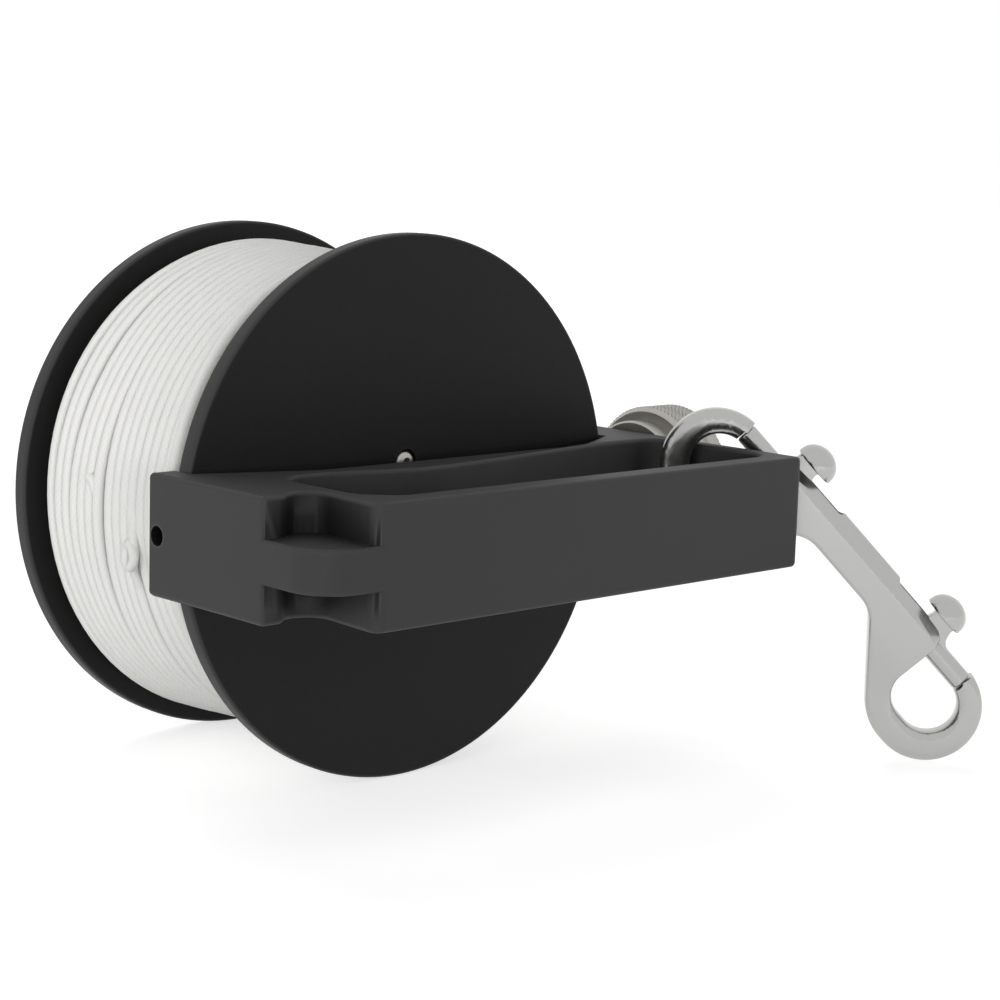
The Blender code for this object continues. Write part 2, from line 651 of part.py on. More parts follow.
def make_line():
    radius, first, turns = winding_places()
    half_step = math.pi / LINE_POINTS_PER_TURN
    core_radius = radius * math.cos(half_step) - LINE_DIAMETER / 2 - SEAT_GAP
    start, end = DRUM_FRONT_Y + SEAT_GAP, DRUM_REAR_Y - SEAT_GAP
    profile = ring_profile(HUB_RADIUS + SEAT_GAP, core_radius, start, end)
    core = turned("line_core", profile, LINE_CORE_STEPS, WHITE_LINE, closed=True)
    points = line_points()
    half_width = LINE_DIAMETER / 2 + SEAT_GAP
    depth = radius - 2 * LINE_DIAMETER - SEAT_GAP
    reach = 2 * half_width + LINE_DIAMETER
    for name, tip, left, right in (
        ("front", points[0], half_width, reach),
        ("rear", points[-1], reach, half_width),
    ):
        low = (tip.x - left, tip.y - half_width, depth)
        high = (tip.x + right, tip.y + half_width, radius + OVERRUN)
        cut(core, add_object(f"{name}_pocket", box_mesh(f"{name}_pocket", low, high)))
    curve = bpy.data.curves.new("line_turns", "CURVE")
    curve.dimensions = "3D"
    curve.bevel_depth = LINE_DIAMETER / 2
    curve.bevel_resolution = LINE_SIDE_STEPS
    curve.use_fill_caps = True
    spline = curve.splines.new("POLY")
    spline.points.add(len(points) - 1)
    for target, point in zip(spline.points, points):
        target.co = (*point, 1)
    add_object("line_turns", curve, WHITE_LINE)
    print(f"line: {turns} turns, least gap to itself {least_gap(points) * 1000:.3f} mm")


def make_winder():
    """A barrel knob that turns on a shouldered spindle fixed in the rear flange."""
    place = (WINDER_X, SPOOL_REAR_Y, WINDER_Z)
    knob_start = SEAT_GAP + SPINDLE_SHOULDER + SEAT_GAP
    knob_end = knob_start + WINDER_LENGTH
    head_start = knob_end - SPINDLE_HEAD_HEIGHT
    bore = SPINDLE_RADIUS + SEAT_GAP
    spindle = [
        (0, -FLANGE_THICKNESS),
        (SPINDLE_RADIUS, -FLANGE_THICKNESS),
        (SPINDLE_RADIUS, SEAT_GAP),
        (SPINDLE_SHOULDER_RADIUS, SEAT_GAP),
        (SPINDLE_SHOULDER_RADIUS, SEAT_GAP + SPINDLE_SHOULDER),
        (SPINDLE_RADIUS, SEAT_GAP + SPINDLE_SHOULDER),
        (SPINDLE_RADIUS, head_start),
        (SPINDLE_HEAD_RADIUS, head_start),
        (SPINDLE_HEAD_RADIUS, knob_end),
        (0, knob_end),
    ]
    turned("winding_spindle", spindle, SHAFT_STEPS, STEEL, place=place)
    pocket = SPINDLE_HEAD_RADIUS + SEAT_GAP
    knob = [
        (bore, knob_start, 0),
        (WINDER_FOOT_RADIUS, knob_start, WINDER_EDGE),
        (WINDER_WAIST_RADIUS, knob_start + WINDER_LENGTH * WINDER_WAIST_SHARE, WINDER_LENGTH),
        (WINDER_HEAD_RADIUS, knob_end - WINDER_HEAD_BAND, WINDER_EDGE),
        (WINDER_HEAD_RADIUS, knob_end, WINDER_EDGE),
        (pocket, knob_end, 0),
        (pocket, head_start - SEAT_GAP, 0),
        (bore, head_start - SEAT_GAP, 0),
    ]
    profile = [tuple(point) for point in rounded(knob, DEGREES_PER_EDGE_STEP)]
    turned("winding_knob", profile, SHAFT_STEPS, BLACK_PLASTIC, place=place, closed=True)


def make_lock():
    """The knurled knob, its screw through the right arm and the pad it presses on the rim."""
    place = (0, RIM_Y, 0)
    pad_start = FLANGE_RADIUS + SEAT_GAP
    pad_end = pad_start + LOCK_PAD_LENGTH
    pad = [
        (0, pad_start),
        (LOCK_SCREW_RADIUS, pad_start),
        (LOCK_SCREW_RADIUS, pad_end),
        (0, pad_end),
    ]
    turned("lock_pad", pad, HOLE_STEPS, PALE_PLASTIC, ALONG_X, place)
    collar = RIGHT_FACE_X + SEAT_GAP
    face = collar + LOCK_COLLAR_LENGTH
    chamfer = face + LOCK_FACE_LENGTH
    band = chamfer + LOCK_CHAMFER_LENGTH
    end = band + LOCK_BAND_LENGTH
    screw_end = collar + LOCK_SCREW_IN_KNOB
    bore = LOCK_SCREW_RADIUS + SEAT_GAP
    screw = [
        (0, pad_end + SEAT_GAP),
        (LOCK_SCREW_RADIUS, pad_end + SEAT_GAP),
        (LOCK_SCREW_RADIUS, screw_end),
        (0, screw_end),
    ]
    turned("lock_screw", screw, HOLE_STEPS, STEEL, ALONG_X, place)
    knob = [
        (0, screw_end + SEAT_GAP),
        (bore, screw_end + SEAT_GAP),
        (bore, collar),
        (LOCK_COLLAR_RADIUS, collar),
        (LOCK_COLLAR_RADIUS, face),
        (LOCK_FACE_RADIUS, face),
        (LOCK_FACE_RADIUS, chamfer),
        (LOCK_KNOB_RADIUS, band),
        (LOCK_KNOB_RADIUS, end - LOCK_EDGE),
        (LOCK_KNOB_RADIUS - LOCK_EDGE, end),
        (0, end),
    ]
    turned("lock_knob", knob, KNOB_STEPS, STEEL, ALONG_X, place)


def snap_plane():
    """The snap's own axes: along its length, across it to the studs, and out of its plane."""
    level = Vector((math.sin(SNAP_TURN), -math.cos(SNAP_TURN), 0))
    along = level * math.cos(SNAP_DROP) - ALONG_Z * math.sin(SNAP_DROP)
    across = level * math.sin(SNAP_DROP) + ALONG_Z * math.cos(SNAP_DROP)
    return along, across, along.cross(across)


def arc(centre, radius, from_angle, to_angle):
    steps = math.ceil(abs(math.degrees(to_angle - from_angle)) / DEGREES_PER_STEP)
    points = []
    for k in range(steps + 1):
        angle = from_angle + (to_angle - from_angle) * k / steps
        points.append(centre + Vector((math.cos(angle), math.sin(angle))) * radius)
    return points


def snap_half():
    """Half of the snap's outline from its middle: (point, half thickness, edge) each."""
    centre = Vector((SNAP_RING_SPACING / 2, 0))
    body = (SNAP_BODY_HALF_THICKNESS, SNAP_BODY_EDGE)
    back = (SNAP_BODY_HALF_THICKNESS, SNAP_BACK_EDGE)
    ring = (SNAP_RING_HALF_THICKNESS, SNAP_RING_EDGE)
    tip = (SNAP_RING_HALF_THICKNESS, SNAP_BODY_EDGE)
    waist_x = centre.x - SNAP_WAIST_TO_RING
    heel_x = waist_x + (SNAP_WAIST + SNAP_RING_RADIUS) / math.tan(SNAP_NECK_ANGLE)
    waist = [
        (0, SNAP_WAIST, 0),
        (waist_x, SNAP_WAIST, SNAP_WAIST_RADIUS),
        (heel_x, -SNAP_RING_RADIUS, SNAP_HEEL_RADIUS),
        (centre.x, -SNAP_RING_RADIUS, 0),
    ]
    heel_start = heel_x - SNAP_HEEL_RADIUS * math.tan(SNAP_NECK_ANGLE / 2)
    half = [(point, *(ring if point.x > heel_start else body)) for point in rounded(waist)[:-1]]
    outer_end = math.acos(SNAP_TIP_TO_RING / SNAP_RING_RADIUS)
    inner_end = math.acos((SNAP_TIP_TO_RING + SNAP_HOLE_INSET) / SNAP_HOLE_RADIUS)
    hole_centre = centre + Vector((-SNAP_HOLE_INSET, SNAP_HOLE_RISE))
    barrel_x = centre.x - SNAP_BARREL_TO_RING
    barrel_centre = Vector((barrel_x + SNAP_HOLE_RADIUS, SNAP_HOLE_RISE))
    down = -math.pi / 2
    outer = arc(centre, SNAP_RING_RADIUS, down, outer_end)
    inner = arc(hole_centre, SNAP_HOLE_RADIUS, inner_end, down)
    inner += arc(barrel_centre, SNAP_HOLE_RADIUS, down, -math.pi)
    half += [(point, *ring) for point in outer[:-1]]
    half += [(outer[-1], *tip), (inner[0], *tip)]
    half += [(point, *ring) for point in inner[1:-1]]
    half.append((inner[-1], *body))
    half.append((Vector((barrel_x, SNAP_BACK_END)), *body))
    half.append((Vector((barrel_x - SNAP_BACK_RUN, SNAP_BACK)), *back))
    return half


def make_snap():
    along, across, out = snap_plane()
    hang = bpy.data.objects.new("snap_hang", None)
    bpy.context.collection.objects.link(hang)
    turn = Matrix((along, across, out)).transposed().to_4x4()
    hang.matrix_world = Matrix.Translation(snap_place()) @ turn
    middle = SNAP_RING_SPACING / 2
    half = snap_half()
    lower = [(Vector((middle + point.x, point.y)), h, e) for point, h, e in half]
    upper = [(Vector((middle - point.x, point.y)), h, e) for point, h, e in half]
    whole = lower + upper[:0:-1]
    outline = [entry[0] for entry in whole]
    heights = [entry[1] for entry in whole]
    edges = [entry[2] for entry in whole]
    mesh = plate("snap_body", [outline], [heights], [edges])
    body = add_object("snap_body", mesh, STEEL, hang)
    for name, side in (("upper", -1), ("lower", 1)):
        make_bolt(name, side, middle, body, hang)


def make_bolt(name, side, middle, body, hang):
    """A sprung bolt in the snap's barrel, with the thumb stud that draws it back."""
    ring = SNAP_RING_SPACING / 2
    stud_x = ring - SNAP_STUD_TO_RING
    front = ring + SNAP_TIP_TO_RING - SEAT_GAP
    rear = stud_x - SNAP_STUD_LENGTH / 2 - SNAP_BOLT_TAIL
    bore_end = rear - SNAP_BOLT_STROKE - SNAP_SPRING_ROOM
    axis = ALONG_X * side
    line = (middle, SNAP_BOLT_AXIS, 0)
    bore = SNAP_BOLT_RADIUS + SEAT_GAP
    barrel_end = ring - SNAP_BARREL_TO_RING
    hole(body, bore, bore_end, barrel_end + OVERRUN, axis, line, SHAFT_STEPS)
    slot_ends = sorted((
        middle + side * (stud_x - SNAP_BOLT_STROKE - SNAP_STUD_LENGTH / 2 - SEAT_GAP),
        middle + side * (barrel_end + OVERRUN),
    ))
    half_slot = SNAP_STUD_WIDTH / 2 + SEAT_GAP
    low = (slot_ends[0], SNAP_BOLT_AXIS, -half_slot)
    high = (slot_ends[1], SNAP_BACK + OVERRUN, half_slot)
    cut(body, add_object(f"{name}_slot", box_mesh(f"{name}_slot", low, high), parent=hang))
    profile = [(0, rear), (SNAP_BOLT_RADIUS, rear), (SNAP_BOLT_RADIUS, front), (0, front)]
    bolt = turned(f"snap_bolt_{name}", profile, HOLE_STEPS, STEEL, axis, line, parent=hang)
    across = middle + side * stud_x
    foot = SNAP_BOLT_AXIS - SNAP_STUD_SINK
    cap = SNAP_BACK + SNAP_CAP_LIFT
    socket = stud_post(f"{name}_socket", across, foot - SEAT_GAP, SNAP_BACK, SEAT_GAP)
    cut(bolt, add_object(f"{name}_socket", socket, parent=hang))
    post = stud_post(f"snap_stud_{name}", across, foot, cap + SNAP_CAP_RIM / 2, 0)
    stud = add_object(f"snap_stud_{name}", post, STEEL, hang)
    top = [(0, cap), (SNAP_CAP_RADIUS, cap)]
    top += dome(SNAP_CAP_RADIUS, cap + SNAP_CAP_RIM, SNAP_CAP_DOME)
    cap_line = (middle + side * (ring - SNAP_CAP_TO_RING), 0, 0)
    join(stud, turned(f"{name}_cap", top, HOLE_STEPS, None, ALONG_Y, cap_line, parent=hang))


def stud_post(name, across, foot, top, room):
    """The flattened post between a bolt and its stud's cap, grown on its sides by the room."""
    half_length = SNAP_STUD_LENGTH / 2 + room
    half_width = SNAP_STUD_WIDTH / 2 + room
    corners = [
        (across + half_length * u, half_width * v, SNAP_STUD_WIDTH * SNAP_STUD_CORNER_SHARE)
        for u, v in ((-1, -1), (1, -1), (1, 1), (-1, 1))
    ]
    bm = bmesh.new()
    foot_verts = [bm.verts.new((p.x, foot, p.y)) for p in rounded(corners, DEGREES_PER_EDGE_STEP)]
    face = bm.faces.new(foot_verts)
    grown = bmesh.ops.extrude_face_region(bm, geom=[face])["geom"]
    top_verts = [item for item in grown if isinstance(item, bmesh.types.BMVert)]
    bmesh.ops.translate(bm, vec=(0, top - foot, 0), verts=top_verts)
    return mesh_from(name, bm)


def snap_place():
    """The centre of the snap's upper ring, round the bar above the eye window."""
    return Vector((RIGHT_FACE_X - SNAP_OUTSIDE_WALL, SNAP_AT_Y, SNAP_AT_Z))


def main():
    clear_scene()
    make_frame()
    make_axle()
    make_spool()
    make_line()
    make_winder()
    make_lock()
    make_snap()


main()
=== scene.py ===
"""Finishes and fine shapes of a dive reel, built round its fixed frame."""

import json
import math

import bmesh
import bpy
import numpy as np
from bpy.props import FloatProperty, FloatVectorProperty, IntProperty, PointerProperty
from bpy.types import Operator, Panel, PropertyGroup
from mathutils import Matrix, Vector

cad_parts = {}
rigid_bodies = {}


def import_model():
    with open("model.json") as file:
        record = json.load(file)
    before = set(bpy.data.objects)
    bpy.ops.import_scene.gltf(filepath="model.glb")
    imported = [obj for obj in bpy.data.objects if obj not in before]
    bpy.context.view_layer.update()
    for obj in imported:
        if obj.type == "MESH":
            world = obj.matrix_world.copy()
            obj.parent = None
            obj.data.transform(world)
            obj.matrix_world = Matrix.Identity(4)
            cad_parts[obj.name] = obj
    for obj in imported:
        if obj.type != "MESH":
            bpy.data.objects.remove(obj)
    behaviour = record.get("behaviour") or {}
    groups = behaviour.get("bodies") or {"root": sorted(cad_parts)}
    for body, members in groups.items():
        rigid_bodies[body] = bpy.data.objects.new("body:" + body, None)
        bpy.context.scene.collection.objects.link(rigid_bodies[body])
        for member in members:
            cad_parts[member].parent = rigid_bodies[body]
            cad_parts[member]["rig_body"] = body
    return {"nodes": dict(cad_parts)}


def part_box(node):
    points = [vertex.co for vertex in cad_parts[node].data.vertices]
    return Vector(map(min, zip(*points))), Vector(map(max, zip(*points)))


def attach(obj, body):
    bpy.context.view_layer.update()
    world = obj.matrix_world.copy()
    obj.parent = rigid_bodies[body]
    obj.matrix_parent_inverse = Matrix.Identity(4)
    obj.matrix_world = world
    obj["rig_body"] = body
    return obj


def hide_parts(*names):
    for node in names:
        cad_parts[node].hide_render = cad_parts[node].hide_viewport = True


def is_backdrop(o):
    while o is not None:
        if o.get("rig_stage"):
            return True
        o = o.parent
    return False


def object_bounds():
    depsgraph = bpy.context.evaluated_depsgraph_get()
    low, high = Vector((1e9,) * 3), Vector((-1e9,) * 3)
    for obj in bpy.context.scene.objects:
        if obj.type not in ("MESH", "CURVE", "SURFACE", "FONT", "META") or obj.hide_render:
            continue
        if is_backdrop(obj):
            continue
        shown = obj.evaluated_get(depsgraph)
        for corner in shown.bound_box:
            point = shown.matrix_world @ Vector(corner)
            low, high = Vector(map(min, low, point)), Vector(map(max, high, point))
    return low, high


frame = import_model()

bl_info = {
    "name": "Dive reel",
    "version": (1, 0, 0),
    "blender": (4, 5, 0),
    "location": "3D View > Sidebar > Reel",
    "description": "Dresses a dive reel's frame with its finishes, line and bolt snap",
    "category": "Add Mesh",
}

MM = 0.001
ALONG_X = Vector((1, 0, 0))
ALONG_Y = Vector((0, 1, 0))
ALONG_Z = Vector((0, 0, 1))


def linear(hex_colour):
    """An sRGB hex colour as linear red, green, blue and alpha."""
    channels = [int(hex_colour[i : i + 2], 16) / 255 for i in (1, 3, 5)]
    made = [c / 12.92 if c <= 0.04045 else ((c + 0.055) / 1.055) ** 2.4 for c in channels]
    return (*made, 1.0)


def length(name, description, default):
    """A length in metres that a user may change."""
    return FloatProperty(
        name=name, description=description, default=default, subtype="DISTANCE", unit="LENGTH"
    )


def finish_colour(name, description, hex_colour):
    """A finish's colour that a user may change."""
    return FloatVectorProperty(
        name=name, description=description, default=linear(hex_colour), size=4, subtype="COLOR"
    )


class ReelSizes(PropertyGroup):
    """Sizes of the reel's pieces that a user may change."""

    flange_radius: length(
        "Flange radius", "Outer radius of both spool flanges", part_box("flange_front")[1].x
    )
    flange_edge: length("Flange edge", "Rounding of the flange rims", 1.0 * MM)
    line_diameter: length("Line diameter", "Thickness of the braided line", 2.66 * MM)
    line_spacing: length(
        "Line spacing", "Least distance between two turns, centre to centre", 2.62 * MM
    )
    line_bed_radius: length(
        "Line bed radius", "Radius of the wound line under its last two layers", 49.9 * MM
    )
    line_rise: length(
        "Line rise", "How much further out the line lies at the rear flange", 3.2 * MM
    )
    lower_turns: IntProperty(
        name="Lower turns", description="Turns in the layer under the last one", default=20
    )
    upper_turns: IntProperty(
        name="Upper turns", description="Turns in the last layer", default=18
    )
    knurl_width: length("Knurl width", "Width of one diamond of the knob's knurling", 1.25 * MM)
    knurl_height: length("Knurl height", "Height of the knob's knurling", 0.35 * MM)


class ReelColours(PropertyGroup):
    """Colours of the reel's finishes."""

    handle: finish_colour("Handle", "Bead-blasted black handle", "#282828")
    flange: finish_colour("Flange", "Fine matt black of the flanges", "#181818")
    line: finish_colour("Line", "Braided white line", "#e9e9e6")
    steel: finish_colour("Polished steel", "Polished cast stainless steel", "#b3b3b1")
    turned_steel: finish_colour(
        "Turned steel", "Turned and knurled stainless steel", "#aeaca6"
    )
    bearing: finish_colour("Bearing plastic", "Natural bearing plastic", "#dddcd6")
    backdrop: finish_colour("Backdrop", "Floor and backdrop", "#ffffff")


def sizes():
    """The sizes that the scene holds."""
    return bpy.context.scene.reel_sizes


def colours():
    """The colours that the scene holds."""
    return bpy.context.scene.reel_colours


# Materials

# The band at the flange rim that is painted paler, as painted light.
RIM_LIGHT_START = 0.7 * MM
RIM_LIGHT_END = 0.2 * MM
BRAID_LAY = 1.5
BRAID_STRANDS = 8


def add_node(material, kind, inputs=None, output=0, **settings):
    """Adds a node, whose inputs are values or other nodes' outputs. Gives its first output,
    or the one that is named."""
    node = material.node_tree.nodes.new(f"ShaderNode{kind}")
    for name, value in settings.items():
        setattr(node, name, value)
    for name, value in (inputs or {}).items():
        if isinstance(value, bpy.types.NodeSocket):
            material.node_tree.links.new(value, node.inputs[name])
        else:
            node.inputs[name].default_value = value
    return node.outputs[output] if node.outputs else None


def new_material(name):
    """An empty material and its object coordinates."""
    made = bpy.data.materials.new(name)
    made.use_nodes = True
    made.node_tree.nodes.clear()
    return made, add_node(made, "TexCoord", output="Object")


def shaded(material, tone, rough, relief, inputs):
    """Gives a material its shader: its colour, its roughness as (pattern, least, most) and
    its relief as (pattern, depth in millimetres, strength), or none, and its own values."""
    inputs["Base Color"] = tone
    if rough:
        pattern, least, most = rough
        inputs["Roughness"] = add_node(
            material, "MapRange", {"Value": pattern, "To Min": least, "To Max": most}
        )
    if relief:
        pattern, depth, strength = relief
        inputs["Normal"] = add_node(
            material, "Bump", {"Height": pattern, "Distance": depth * MM, "Strength": strength}
        )
    shader = add_node(material, "BsdfPrincipled", inputs)
    add_node(material, "OutputMaterial", {"Surface": shader})
    return material


def repeats(size):
    """The scale that makes a pattern repeat every so many millimetres."""
    return 1 / (size * MM)


def tinted(colour, factor):
    """A colour made lighter or darker."""
    return (*[min(1.0, c * factor) for c in colour[:3]], 1.0)


def layered(material, colour, *layers):
    """A colour with others laid over it, each with the pattern that shows it."""
    for pattern, other in layers:
        colour = add_node(material, "Mix", {0: pattern, 6: colour, 7: other}, 2, data_type="RGBA")
    return colour


def wear_and_highlight_share(material, radius, contrast, patches):
    """How much wear and painted highlight lighten a point: most on a sharp edge in a worn
    patch, and not at all on a face.
    """
    rounded = add_node(material, "Bevel", {"Radius": radius}, samples=4)
    flat = add_node(material, "NewGeometry", output="Normal")
    alike = add_node(
        material, "VectorMath", {0: rounded, 1: flat}, "Value", operation="DOT_PRODUCT"
    )
    edge = add_node(
        material, "MapRange", {"Value": alike, "From Min": 1.0, "From Max": 1.0 - contrast}
    )
    return add_node(material, "Math", {0: edge, 1: patches}, operation="MULTIPLY")


def recess_shade_share(material, reach, closed):
    """How deep a point lies in a recess, from 0 in the open to 1 where it is closed in: the share
    of painted shade.
    """
    openness = add_node(
        material, "AmbientOcclusion", {"Distance": reach}, "AO", samples=6, only_local=True
    )
    return add_node(material, "MapRange", {"Value": openness, "From Min": 1.0, "From Max": closed})


def blasted_black():
    """Black plastic machined and bead-blasted: an even fine grain that scatters light, edges a
    little paler from handling wear and painted highlight, and recesses darkened as painted shade.
    The real grain is about 0.1 mm, too fine to show, so it is drawn coarser."""
    made, where = new_material("bead_blasted_black_plastic")
    colour = colours().handle
    grain = add_node(
        made, "TexNoise",
        {"Vector": where, "Scale": repeats(0.55), "Detail": 3.0, "Roughness": 0.65},
    )
    cloud = add_node(made, "TexNoise", {"Vector": where, "Scale": repeats(16)})
    faint = add_node(made, "MapRange", {"Value": cloud, "To Max": 0.35})
    patches = add_node(made, "MapRange", {"Value": cloud, "To Min": 0.6})
    tone = layered(
        made, tinted(colour, 0.72), (grain, tinted(colour, 1.34)), (faint, tinted(colour, 1.3)),
        # Edges lightened partly by wear and partly as painted highlight, where the rounded edges
        # catch the light.
        (wear_and_highlight_share(made, 0.9 * MM, 0.3, patches), tinted(colour, 4.6)),
        # Painted shade: recesses such as the bay and the hand slot are darkened nearly to black,
        # where shade falls.
        (recess_shade_share(made, 16 * MM, 0.6), tinted(colour, 0.12)),
    )
    return shaded(made, tone, (grain, 0.5, 0.66), (grain, 0.035, 0.5), {"Specular IOR Level": 0.36})


def fine_black():
    """Black bearing plastic faced in a lathe: smooth and matt, with hair-fine rings, and a rim
    painted paler all round as painted light. The rings are drawn 1.1 mm apart, because the
    real ones, about 0.1 mm apart, are too fine to show."""
    made, where = new_material("faced_black_plastic")
    colour = colours().flange
    grain = add_node(made, "TexNoise", {"Vector": where, "Scale": repeats(0.8)})
    cloud = add_node(made, "TexNoise", {"Vector": where, "Scale": repeats(24), "Detail": 1.0})
    rings = add_node(
        made, "TexWave",
        {"Vector": where, "Scale": repeats(1.1) / math.tau, "Distortion": 0.4, "Detail": 1.0},
        "Fac", wave_type="RINGS", rings_direction="Y",
    )
    patches = add_node(made, "MapRange", {"Value": cloud, "To Min": 0.3, "To Max": 0.8})
    spoke = add_node(made, "VectorMath", {0: where, 1: (1, 0, 1)}, operation="MULTIPLY")
    out = add_node(made, "VectorMath", {0: spoke}, "Value", operation="LENGTH")
    radius = sizes().flange_radius
    painted_rim_light = add_node(
        made, "MapRange",
        {"Value": out, "From Min": radius - RIM_LIGHT_START, "From Max": radius - RIM_LIGHT_END},
    )
    tone = layered(
        made, tinted(colour, 0.85), (grain, tinted(colour, 1.2)),
        # Flange edges lightened partly by wear and partly as painted highlight.
        (wear_and_highlight_share(made, 1.0 * MM, 0.35, patches), tinted(colour, 4.0)),
        # Painted light: the rim band is made paler all round.
        (painted_rim_light, tinted(colour, 4.2)),
    )
    faint = add_node(made, "MapRange", {"Value": rings, "To Max": 0.35})
    height = add_node(made, "Math", {0: grain, 1: faint}, operation="ADD")
    return shaded(
        made, tone, (cloud, 0.42, 0.5), (height, 0.01, 0.35), {"Specular IOR Level": 0.14}
    )


def polished_steel():
    """Cast stainless steel, tumbled and polished: a soft mirror over a faintly uneven skin."""
    made, where = new_material("polished_cast_steel")
    colour = colours().steel
    skin = add_node(made, "TexNoise", {"Vector": where, "Scale": repeats(5)})
    haze = add_node(
        made, "TexNoise", {"Vector": where, "Scale": repeats(0.7), "Detail": 4.0, "Roughness": 0.6}
    )
    faint = add_node(made, "MapRange", {"Value": haze, "To Max": 0.06})
    height = add_node(made, "Math", {0: skin, 1: faint}, operation="ADD")
    tone = layered(made, tinted(colour, 0.94), (haze, tinted(colour, 1.04)))
    return shaded(made, tone, (haze, 0.16, 0.3), (height, 0.09, 0.6), {"Metallic": 1.0})


def turned_steel():
    """Stainless steel left from the lathe: rings of tool marks round the axis it was turned
    on, which are drawn about 1 mm apart, because the real ones are too fine to show."""
    made, where = new_material("turned_steel")
    colour = colours().turned_steel
    haze = add_node(made, "TexNoise", {"Vector": where, "Scale": repeats(0.6), "Detail": 3.0})
    drawn_out = add_node(made, "Mapping", {"Vector": where, "Scale": (9.0, 1.0, 1.0)})
    marks = add_node(made, "TexNoise", {"Vector": drawn_out, "Scale": repeats(1.2)})
    tone = layered(made, tinted(colour, 0.86), (marks, tinted(colour, 1.08)))
    return shaded(made, tone, (haze, 0.26, 0.42), (marks, 0.012, 0.5), {"Metallic": 1.0})


def braided_line():
    """Braided polyester line: two sets of slanting strands that cross, with soft dark joints.
    Its map is in metres along the line and in turns round it."""
    made, where = new_material("braided_polyester")
    colour = colours().line
    along = add_node(made, "UVMap", uv_map="line")
    angles = []
    for axis, scale in (("X", math.tau * repeats(BRAID_LAY)), ("Y", math.tau * BRAID_STRANDS)):
        part = add_node(made, "SeparateXYZ", {"Vector": along}, axis)
        angles.append(add_node(made, "Math", {0: part, 1: scale}, operation="MULTIPLY"))
    strands = []
    for way in ("ADD", "SUBTRACT"):
        slant = add_node(made, "Math", dict(enumerate(angles)), operation=way)
        strands.append(add_node(made, "Math", {0: slant}, operation="SINE"))
    crossed = add_node(made, "Math", dict(enumerate(strands)), operation="MAXIMUM")
    braid = add_node(made, "MapRange", {"Value": crossed, "To Min": 0.375, "To Max": 0.75})
    fuzz = add_node(made, "TexNoise", {"Vector": where, "Scale": repeats(0.5), "Detail": 3.0})
    faint = add_node(made, "MapRange", {"Value": fuzz, "To Max": 0.3})
    shade = add_node(made, "Math", {0: braid, 1: faint}, operation="ADD")
    tone = layered(made, tinted(colour, 0.9), (shade, colour))
    return shaded(made, tone, None, (shade, 0.05, 0.5), {
        "Roughness": 0.78, "Specular IOR Level": 0.25, "Sheen Weight": 0.25,
        "Sheen Roughness": 0.5, "Subsurface Weight": 0.06,
        "Subsurface Radius": (0.6 * MM, 0.6 * MM, 0.6 * MM), "Subsurface Scale": 1.0,
    })


def line_beneath_in_shade():
    """The deeper layers of the line, seen only in the gaps: rows of turns side by side, drawn
    darker as painted shade.
    """
    made, where = new_material("line_beneath_in_shade")
    colour = colours().line
    rows = add_node(
        made, "TexWave", {"Vector": where, "Scale": repeats(2.9) / math.tau, "Distortion": 0.6},
        "Fac", bands_direction="Y",
    )
    # Painted shade: the deeper turns are the same white line, drawn darker because they lie in the
    # gaps.
    tone = layered(made, tinted(colour, 0.55), (rows, tinted(colour, 0.9)))
    return shaded(made, tone, None, (rows, 0.6, 0.8), {"Roughness": 0.85})


def bearing_plastic():
    """Natural acetal: milky, smooth and faintly waxy."""
    made, where = new_material("natural_bearing_plastic")
    colour = colours().bearing
    cloud = add_node(made, "TexNoise", {"Vector": where, "Scale": repeats(3), "Detail": 3.0})
    tone = layered(made, tinted(colour, 0.93), (cloud, colour))
    return shaded(made, tone, (cloud, 0.35, 0.48), (cloud, 0.02, 0.4), {
        "Specular IOR Level": 0.45, "Subsurface Weight": 0.1,
        "Subsurface Radius": (1.0 * MM, 0.9 * MM, 0.8 * MM), "Subsurface Scale": 1.0,
    })


FINISHES = {
    "handle_black": blasted_black,
    "flange_black": fine_black,
    "snap_steel": polished_steel,
    "steel": turned_steel,
    "pale_plastic": bearing_plastic,
    "line_white": braided_line,
}
made_finishes = {}


def finish_of(slot):
    """The finish of a material slot, made once."""
    if slot not in made_finishes:
        made_finishes[slot] = FINISHES[slot]()
    return made_finishes[slot]


# Shapes


def turned_mesh(profile, steps, axis=ALONG_Y, place=(0, 0, 0), closed=False):
    """A profile of (radius, height) turned about its axis; a closed one goes round a bore."""
    bm = bmesh.new()
    verts = [bm.verts.new((radius, 0, height)) for radius, height in profile]
    pairs = list(zip(verts, verts[1:]))
    if closed:
        pairs.append((verts[-1], verts[0]))
    edges = [bm.edges.new(pair) for pair in pairs]
    bmesh.ops.spin(
        bm, geom=edges, cent=(0, 0, 0), axis=ALONG_Z, angle=math.tau, steps=steps, use_merge=True
    )
    bmesh.ops.remove_doubles(bm, verts=bm.verts, dist=0.002 * MM)
    turn = ALONG_Z.rotation_difference(axis).to_matrix().to_4x4()
    bmesh.ops.transform(bm, matrix=Matrix.Translation(place) @ turn, verts=bm.verts)
    bmesh.ops.recalc_face_normals(bm, faces=bm.faces)
    return bm


def rod(radius, end, start=0.0):
    """The profile of a plain rod, to turn."""
    return [(0, start), (radius, start), (radius, end), (0, end)]


def eased(start, corner, end, steps):
    """Points that turn from a start to an end, drawn to the corner between them."""
    for k in range(steps + 1):
        t = k / steps
        yield start * (1 - t) ** 2 + corner * 2 * t * (1 - t) + end * t * t


def bevelled(bm, edges, width, clamp):
    """Takes the sharpness off some edges."""
    bmesh.ops.bevel(
        bm, geom=edges, offset=width, offset_type="OFFSET", segments=2, profile=0.5,
        affect="EDGES", material=-1, clamp_overlap=clamp,
    )
    return bm


